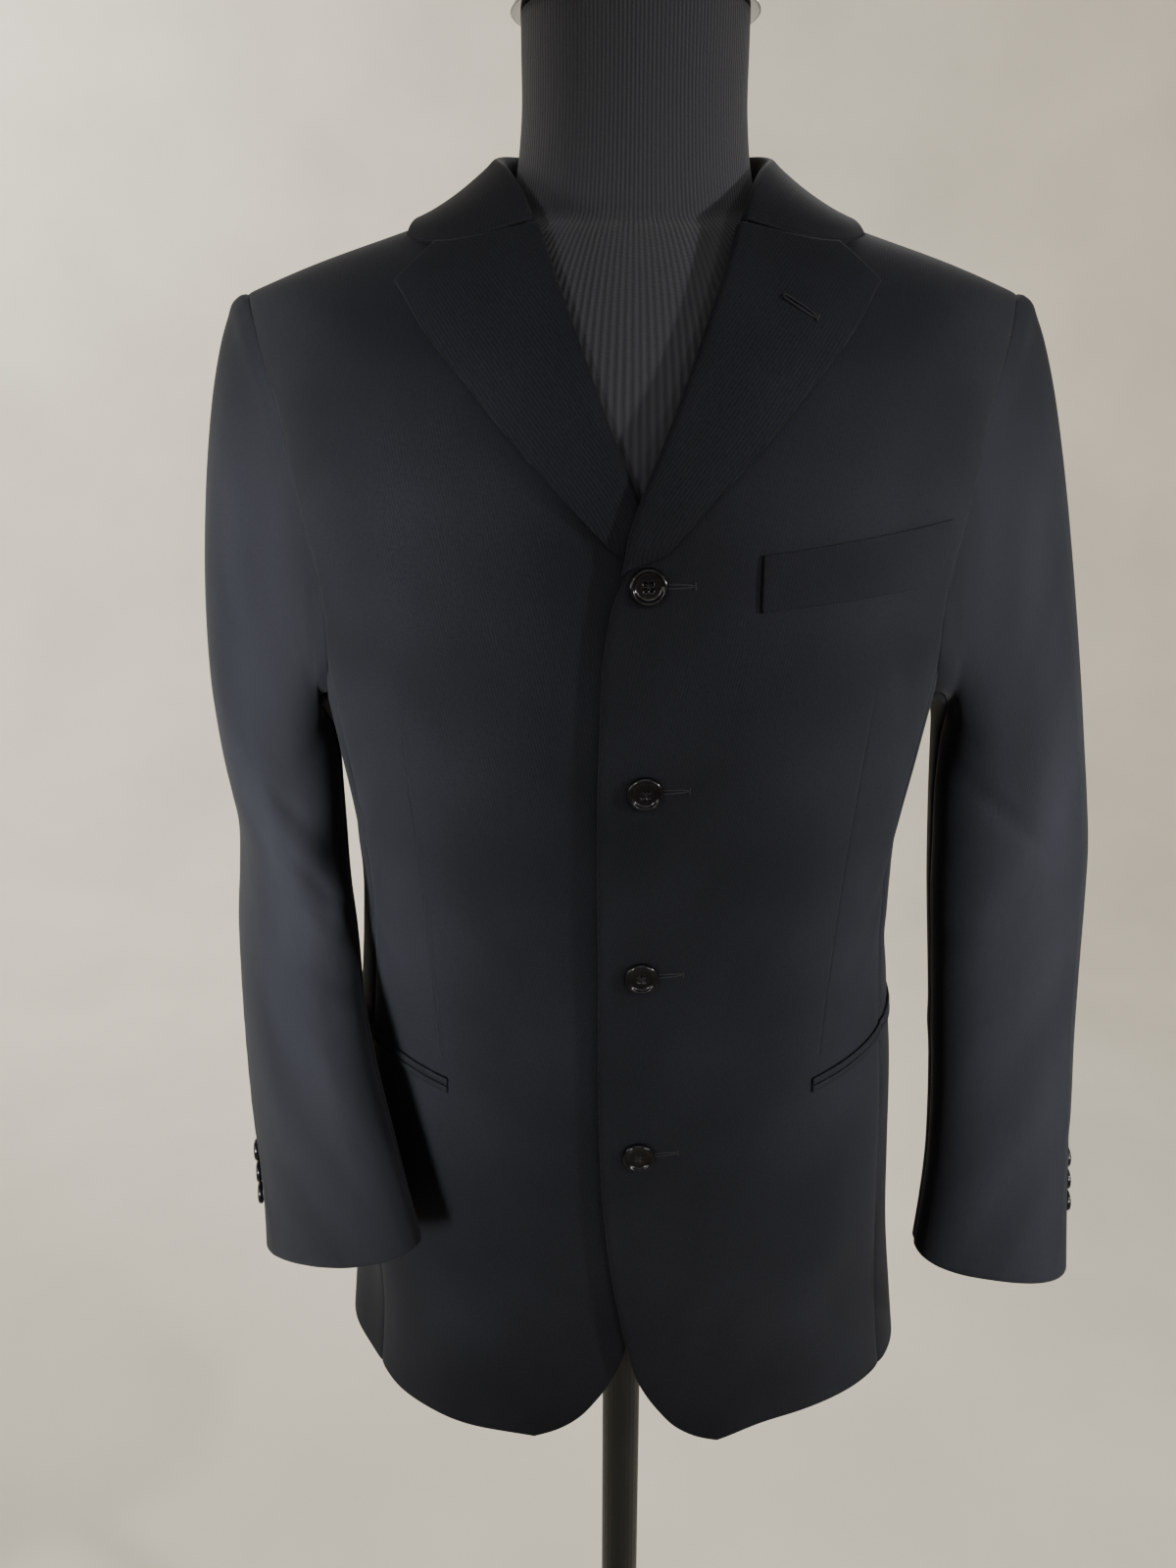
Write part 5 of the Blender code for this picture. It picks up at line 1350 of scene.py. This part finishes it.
def form_skin():
    """The limbless form: rings from the hip to the chest, over the shoulders and up the neck."""
    azimuth = np.linspace(0, 2 * math.pi, FORM_SIDES, endpoint=False)
    wrapped = (azimuth + math.pi) % (2 * math.pi) - math.pi
    hip_x, hip_y = form_ring(np.full(azimuth.shape, FORM_BOTTOM), wrapped)
    foot = np.full(azimuth.shape, FORM_BOTTOM)
    rings = [np.stack([hip_x * FORM_FOOT_SHARE, hip_y * FORM_FOOT_SHARE, foot], -1)]
    for level in (FORM_BOTTOM + 0.006, FORM_BOTTOM + 0.030, *FORM_LEVELS):
        x, y = form_ring(np.full(azimuth.shape, level), wrapped)
        shrink = FORM_EDGE_SHARE if level < FORM_BOTTOM + 0.01 else 1.0
        rings.append(np.stack([x * shrink, y * shrink, np.full(azimuth.shape, level)], -1))
    front_depth = BODY[FORM_BODY_ROW, 2] - through(FORM_CLEARANCE, 1, DOME_START)
    back_depth = BODY[FORM_BODY_ROW, 3] - through(FORM_CLEARANCE, 1, DOME_START)
    depth = np.where(np.cos(wrapped) > 0, front_depth, back_depth)
    rim = (
        np.abs(np.sin(wrapped) / FORM_SHOULDER) ** SQUARENESS
        + np.abs(np.cos(wrapped) / depth) ** SQUARENESS
    ) ** (-1 / SQUARENESS)
    for spread in FORM_SPREADS:
        x = blend(NECK_BASE[0], rim, spread) * np.sin(wrapped)
        y = -blend(NECK_BASE[1], rim, spread) * np.cos(wrapped)
        rings.append(np.stack([x, y, form_height(x, y)], -1))
    base = rings[-1]
    neck_x = NECK_HALF_WIDTH * np.sin(wrapped)
    neck_y = -NECK_HALF_DEPTH * np.cos(wrapped)
    wide = NECK_ARC_SPREAD
    corner = np.stack([neck_x * wide, neck_y * wide, base[:, 2] + NECK_ARC_RISE], -1)
    collar_top = np.stack([neck_x, neck_y, np.full(azimuth.shape, NECK_ARC_TOP)], -1)
    for t in (0.25, 0.5, 0.75, 1.0):
        rings.append((1 - t) ** 2 * base + 2 * t * (1 - t) * corner + t**2 * collar_top)
    for height in (NECK_RING, NECK_TOP):
        rings.append(np.stack([neck_x, neck_y, np.full(azimuth.shape, height)], -1))
    return np.stack(rings)


def dress_form():
    """The form's jersey skin, with the ribs' own run round the neck as its UV map."""
    skin = filled(filled(form_skin(), FORM_FILL, 0), FORM_FILL, 1, closed=True)
    rows, columns = skin.shape[:2]
    skin = np.concatenate([skin, skin[:, :1]], axis=1)
    number = np.arange(rows * (columns + 1)).reshape(rows, columns + 1)
    quads = np.stack([number[:-1, :-1], number[:-1, 1:], number[1:, 1:], number[1:, :-1]], -1)
    last = rows * (columns + 1)
    foot = np.append(skin[0].mean(axis=0)[:2], skin[0, 0, 2])
    top = np.append(skin[-1].mean(axis=0)[:2], skin[-1, 0, 2])
    points = np.concatenate([skin.reshape(-1, 3), [foot, top]])
    faces = quads.reshape(-1, 4).tolist()
    faces += [[int(b), int(a), last] for a, b in zip(number[0, :-1], number[0, 1:])]
    faces += [[int(a), int(b), last + 1] for a, b in zip(number[-1, :-1], number[-1, 1:])]
    around = np.linspace(0, 2 * math.pi * NECK_HALF_WIDTH, columns + 1)
    uv = np.stack([np.repeat(around[None], rows, axis=0), run_lengths(skin, 0)], -1).reshape(-1, 2)
    uv = np.concatenate([uv, [[0.0, 0.0], [0.0, 1.0]]])
    thing = mesh_piece("form_jersey", points, faces, uv)
    weld(thing)
    return thing


def weld(thing):
    """Closes the seam where a wrapped grid's first and last columns meet."""
    tight = thing.modifiers.new("Weld", "WELD")
    tight.merge_threshold = 0.00001


def neck_cap():
    """The glossy cap on the neck: a shallow dome over a rounded flange."""
    foot = NECK_TOP + SEAM_GAP
    section = [(out * CAP_RADIUS, foot + up * CAP_HEIGHT) for out, up in CAP_PROFILE]
    radii, heights = smooth_profile(section, PROFILE_FILL)
    points = turned_points(radii, heights, CAP_SIDES)
    return mesh_piece("cap_dome", points, turned_faces(len(radii) - 2, CAP_SIDES))


def linear(hex_colour):
    """An sRGB hex colour as linear red, green, blue and one."""
    parts = [int(hex_colour[i:i + 2], 16) / 255 for i in (1, 3, 5)]
    return tuple(c / 12.92 if c <= 0.04045 else ((c + 0.055) / 1.055) ** 2.4 for c in parts) + (1.0,)


def add(tree, kind, inputs=None, **settings):
    """A shader node with its settings; an input that is a socket is linked, any other is set."""
    made = tree.nodes.new(kind)
    for key, value in settings.items():
        setattr(made, key, value)
    for key, value in (inputs or {}).items():
        if isinstance(value, bpy.types.NodeSocket):
            tree.links.new(value, made.inputs[key])
        else:
            made.inputs[key].default_value = value
    return made


def new_material(name, **values):
    """A material with only its Principled shader, and the shader's fixed values."""
    material = bpy.data.materials.new(name)
    material.use_nodes = True
    shader = material.node_tree.nodes["Principled BSDF"]
    for key, value in values.items():
        shader.inputs[key.replace("_", " ")].default_value = value
    return material, material.node_tree, shader


def worsted():
    """Fine wool worsted: a close twill, drawn coarser than life so that it shows, with a soft nap.

    The eye sees a matt, nearly black navy with faint upright lines and a little light at the turn.
    """
    material, tree, shader = new_material(
        "fine_worsted_twill", Roughness=0.80, Sheen_Weight=0.03, Sheen_Roughness=0.35,
        Specular_IOR_Level=0.06,
    )
    run = add(tree, "ShaderNodeUVMap", uv_map="Cloth").outputs["UV"]
    twill = add(tree, "ShaderNodeMapping", {
        "Vector": run, "Rotation": (0, 0, math.radians(14))}).outputs["Vector"]
    lines = add(tree, "ShaderNodeTexWave", {"Vector": twill, "Scale": 2 * math.pi / (20 * TWILL),
                                            "Distortion": 0.4, "Detail": 1.0, "Detail Scale": 6.0},
                bands_direction="X").outputs["Fac"]
    streaked = add(tree, "ShaderNodeMapping", {"Vector": run, "Scale": (900, 70, 1)}).outputs["Vector"]
    yarn = add(tree, "ShaderNodeTexNoise", {"Vector": streaked, "Scale": 1.0, "Detail": 3.0,
                                            "Roughness": 0.6}).outputs["Fac"]
    nap = add(tree, "ShaderNodeTexNoise", {"Vector": run, "Scale": 520.0, "Detail": 4.0,
                                           "Roughness": 0.65}).outputs["Fac"]
    cloud = add(tree, "ShaderNodeTexNoise", {"Vector": run, "Scale": 9.0, "Detail": 2.0}).outputs["Fac"]
    mixed = add(tree, "ShaderNodeMath", {0: lines, 1: yarn}, operation="MULTIPLY").outputs[0]
    grain = add(tree, "ShaderNodeMath", {0: nap, 1: cloud}, operation="MULTIPLY").outputs[0]
    woven = add(tree, "ShaderNodeMath", {0: mixed, 1: 0.35}, operation="MULTIPLY").outputs[0]
    tone = add(tree, "ShaderNodeMath", {0: grain, 1: woven}, operation="ADD").outputs[0]
    ramp = add(tree, "ShaderNodeMapRange", {"Value": tone, "From Min": 0.18, "From Max": 0.50}).outputs[0]
    colour = add(tree, "ShaderNodeMix", {"Factor": ramp, "A": linear(DARK_YARN), "B": linear(NAVY_YARN)},
                 data_type="RGBA")
    tree.links.new(colour.outputs["Result"], shader.inputs["Base Color"])
    height = add(tree, "ShaderNodeMath", {0: woven, 1: nap}, operation="ADD").outputs[0]
    bump = add(tree, "ShaderNodeBump", {"Height": height, "Strength": 0.45, "Distance": 0.0004})
    tree.links.new(bump.outputs["Normal"], shader.inputs["Normal"])
    return material


def jersey():
    """Cotton jersey stretched on the form: fine upright ribs, matt, nearly black."""
    material, tree, shader = new_material(
        "ribbed_cotton_jersey", Roughness=0.9, Sheen_Weight=0.08, Sheen_Roughness=0.5,
        Specular_IOR_Level=0.2,
    )
    run = add(tree, "ShaderNodeUVMap", uv_map="Cloth").outputs["UV"]
    ribs = add(tree, "ShaderNodeTexWave", {"Vector": run, "Scale": 2 * math.pi / (20 * RIB)},
               bands_direction="X").outputs["Fac"]
    knit = add(tree, "ShaderNodeTexNoise", {"Vector": run, "Scale": 700.0, "Detail": 3.0}).outputs["Fac"]
    height = add(tree, "ShaderNodeMath", {0: ribs, 1: knit}, operation="ADD").outputs[0]
    colour = add(tree, "ShaderNodeMix", {"Factor": ribs, "A": linear(JERSEY_DARK), "B": linear(JERSEY)},
                 data_type="RGBA")
    tree.links.new(colour.outputs["Result"], shader.inputs["Base Color"])
    bump = add(tree, "ShaderNodeBump", {"Height": height, "Strength": 0.6, "Distance": 0.0006})
    tree.links.new(bump.outputs["Normal"], shader.inputs["Normal"])
    return material


def speckled(name, colour, rough, scale, depth, **values):
    """A moulded or painted finish: one colour with a faint cloud in its roughness and surface."""
    material, tree, shader = new_material(name, **values)
    place = add(tree, "ShaderNodeTexCoord").outputs["Object"]
    cloud = add(tree, "ShaderNodeTexNoise", {"Vector": place, "Scale": scale, "Detail": 4.0}).outputs["Fac"]
    spread = add(tree, "ShaderNodeMapRange", {"Value": cloud, "To Min": rough * 0.8, "To Max": rough * 1.25})
    tree.links.new(spread.outputs[0], shader.inputs["Roughness"])
    tone = add(tree, "ShaderNodeHueSaturation", {"Color": linear(colour)})
    lift = add(tree, "ShaderNodeMapRange", {"Value": cloud, "To Min": 0.85, "To Max": 1.2})
    tree.links.new(lift.outputs[0], tone.inputs["Value"])
    tree.links.new(tone.outputs["Color"], shader.inputs["Base Color"])
    bump = add(tree, "ShaderNodeBump", {"Height": cloud, "Strength": 0.15, "Distance": depth})
    tree.links.new(bump.outputs["Normal"], shader.inputs["Normal"])
    return material


def dress(piece, material, slot, *nodes):
    """Gives a piece its finish, its body and the solids that it stands for; the slot is not used."""
    piece.data.materials.clear()
    piece.data.materials.append(material)
    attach(piece, "root")
    if nodes:
        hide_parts(*nodes)
    return piece


def dress_cloth(piece, material, node):
    """A cloth piece with its finish, in place of its solid."""
    dress(piece, material, "worsted", node)


def tailor(worsted_cloth):
    """Every cloth piece of the blazer, each in place of its solid."""
    for side in ("left", "right"):
        dress_cloth(front(side), worsted_cloth, f"front_{side}")
        dress_cloth(side_body(side), worsted_cloth, f"side_{side}")
        dress_cloth(back(side), worsted_cloth, f"back_{side}")
        dress_cloth(lapel(side), worsted_cloth, f"lapel_{side}")
        for part, piece in zip(("top", "under"), sleeve(side)):
            dress_cloth(piece, worsted_cloth, f"sleeve_{part}_{side}")
        for place, piece in zip(("upper", "lower"), hip_jets(side)):
            dress_cloth(piece, worsted_cloth, f"jet_{place}_{side}")
    dress_cloth(collar(), worsted_cloth, "collar")
    dress_cloth(chest_welt(), worsted_cloth, "chest_welt")


def fasten(resin, thread):
    """Every button with its thread and buttonhole."""
    pieces = front_buttons() + cuff_buttons("left") + cuff_buttons("right")
    for node, body_piece, sewn in pieces:
        dress(body_piece, resin, "button_resin", node)
        for piece in sewn:
            dress(piece, thread, "worsted")
    lift = LAPEL_EDGE_LIFT + LAPEL_HOLE_LIFT
    for piece in buttonhole("buttonhole_lapel", *LAPEL_HOLE, lift, LAPEL_HOLE_TACK):
        dress(piece, thread, "worsted")


def repaint(nodes, name, material):
    """Gives a solid that stays as it is a finished material."""
    thing = nodes[name]
    thing.data.materials.clear()
    thing.data.materials.append(material)


def backdrop():
    """A pale studio floor that curves up into a round wall: a profile turned about the stand.

    The profile runs out along the floor, up a quarter arc and on up the wall.
    """
    arc = np.linspace(0, math.pi / 2, ROOM_ARC_STEPS)
    flat = ROOM_RADIUS - ROOM_CURVE
    out = np.concatenate([FLOOR_RINGS, flat + ROOM_CURVE * np.sin(arc), [ROOM_RADIUS]])
    up = np.concatenate([[0.0, 0.0], ROOM_CURVE * (1 - np.cos(arc)), [ROOM_HEIGHT]])
    angle = np.linspace(0, 2 * math.pi, ROOM_SIDES, endpoint=False)
    ring = np.stack([out[:, None] * np.cos(angle), out[:, None] * np.sin(angle)], -1)
    points = np.concatenate([ring, np.repeat(up[:, None, None], ROOM_SIDES, axis=1)], -1).reshape(-1, 3)
    number = np.arange(len(points)).reshape(-1, ROOM_SIDES)
    room = mesh_piece("studio_room", points, ring_quads(number)[0] + [number[0].tolist()])
    room.data.materials.append(speckled("matt_room_paint", ROOM_PAINT, 0.85, 3.0, 0.0005))


def lights():
    """Tall gridded lights at the sleeves, softer ones for chest, back and wall, and a pale sky."""
    world = bpy.data.worlds.new("pale_room")
    world.use_nodes = True
    sky = world.node_tree.nodes["Background"]
    sky.inputs["Color"].default_value = linear(SKY)
    sky.inputs["Strength"].default_value = SKY_STRENGTH
    bpy.context.scene.world = world
    for name, place, aim, wide, tall, spread, power, colour in LAMPS:
        light = bpy.data.lights.new(name, "AREA")
        light.shape = "RECTANGLE"
        light.size = wide
        light.size_y = tall
        light.spread = math.radians(spread)
        light.energy = power
        light.color = colour
        lamp = bpy.data.objects.new(name, light)
        lamp.location = place
        across, away, down = np.array(aim) - np.array(place)
        lamp.rotation_euler = (
            math.atan2(math.hypot(across, away), -down), 0.0, math.atan2(away, across) - math.pi / 2,
        )
        lamp.visible_camera = False
        bpy.context.scene.collection.objects.link(lamp)


def set_camera():
    """The camera where the photograph was taken from, tilted down, with no shift."""
    camera = bpy.data.cameras.new("camera")
    camera.lens = LENS
    camera.sensor_width = SENSOR
    thing = bpy.data.objects.new("camera", camera)
    thing.location = CAMERA_PLACE
    thing.rotation_euler = (math.radians(CAMERA_PITCH), 0.0, 0.0)
    bpy.context.scene.collection.objects.link(thing)
    bpy.context.scene.camera = thing


def main():
    """Loads the solids, dresses them, sets the floor, the lights and the camera."""
    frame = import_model()
    set_camera()
    tailor(worsted())
    resin = speckled("polished_button_resin", RESIN, 0.16, 600.0, 0.00003, Coat_Weight=0.05,
                     Coat_Roughness=0.08, Specular_IOR_Level=0.18)
    thread = speckled("buttonhole_twist", THREAD_COLOUR, 0.7, 1500.0, 0.0001, Specular_IOR_Level=0.25)
    fasten(resin, thread)
    dress(dress_form(), jersey(), "jersey", "form_torso")
    gloss = speckled("gloss_cap_plastic", RESIN, 0.14, 40.0, 0.00005, Specular_IOR_Level=0.3)
    dress(neck_cap(), gloss, "gloss_cap", "form_cap")
    paint = speckled("painted_steel", STEEL_PAINT, 0.45, 300.0, 0.00005, Specular_IOR_Level=0.2)
    repaint(frame["nodes"], "stand_pole", paint)
    repaint(frame["nodes"], "stand_base", paint)
    backdrop()
    lights()


main()
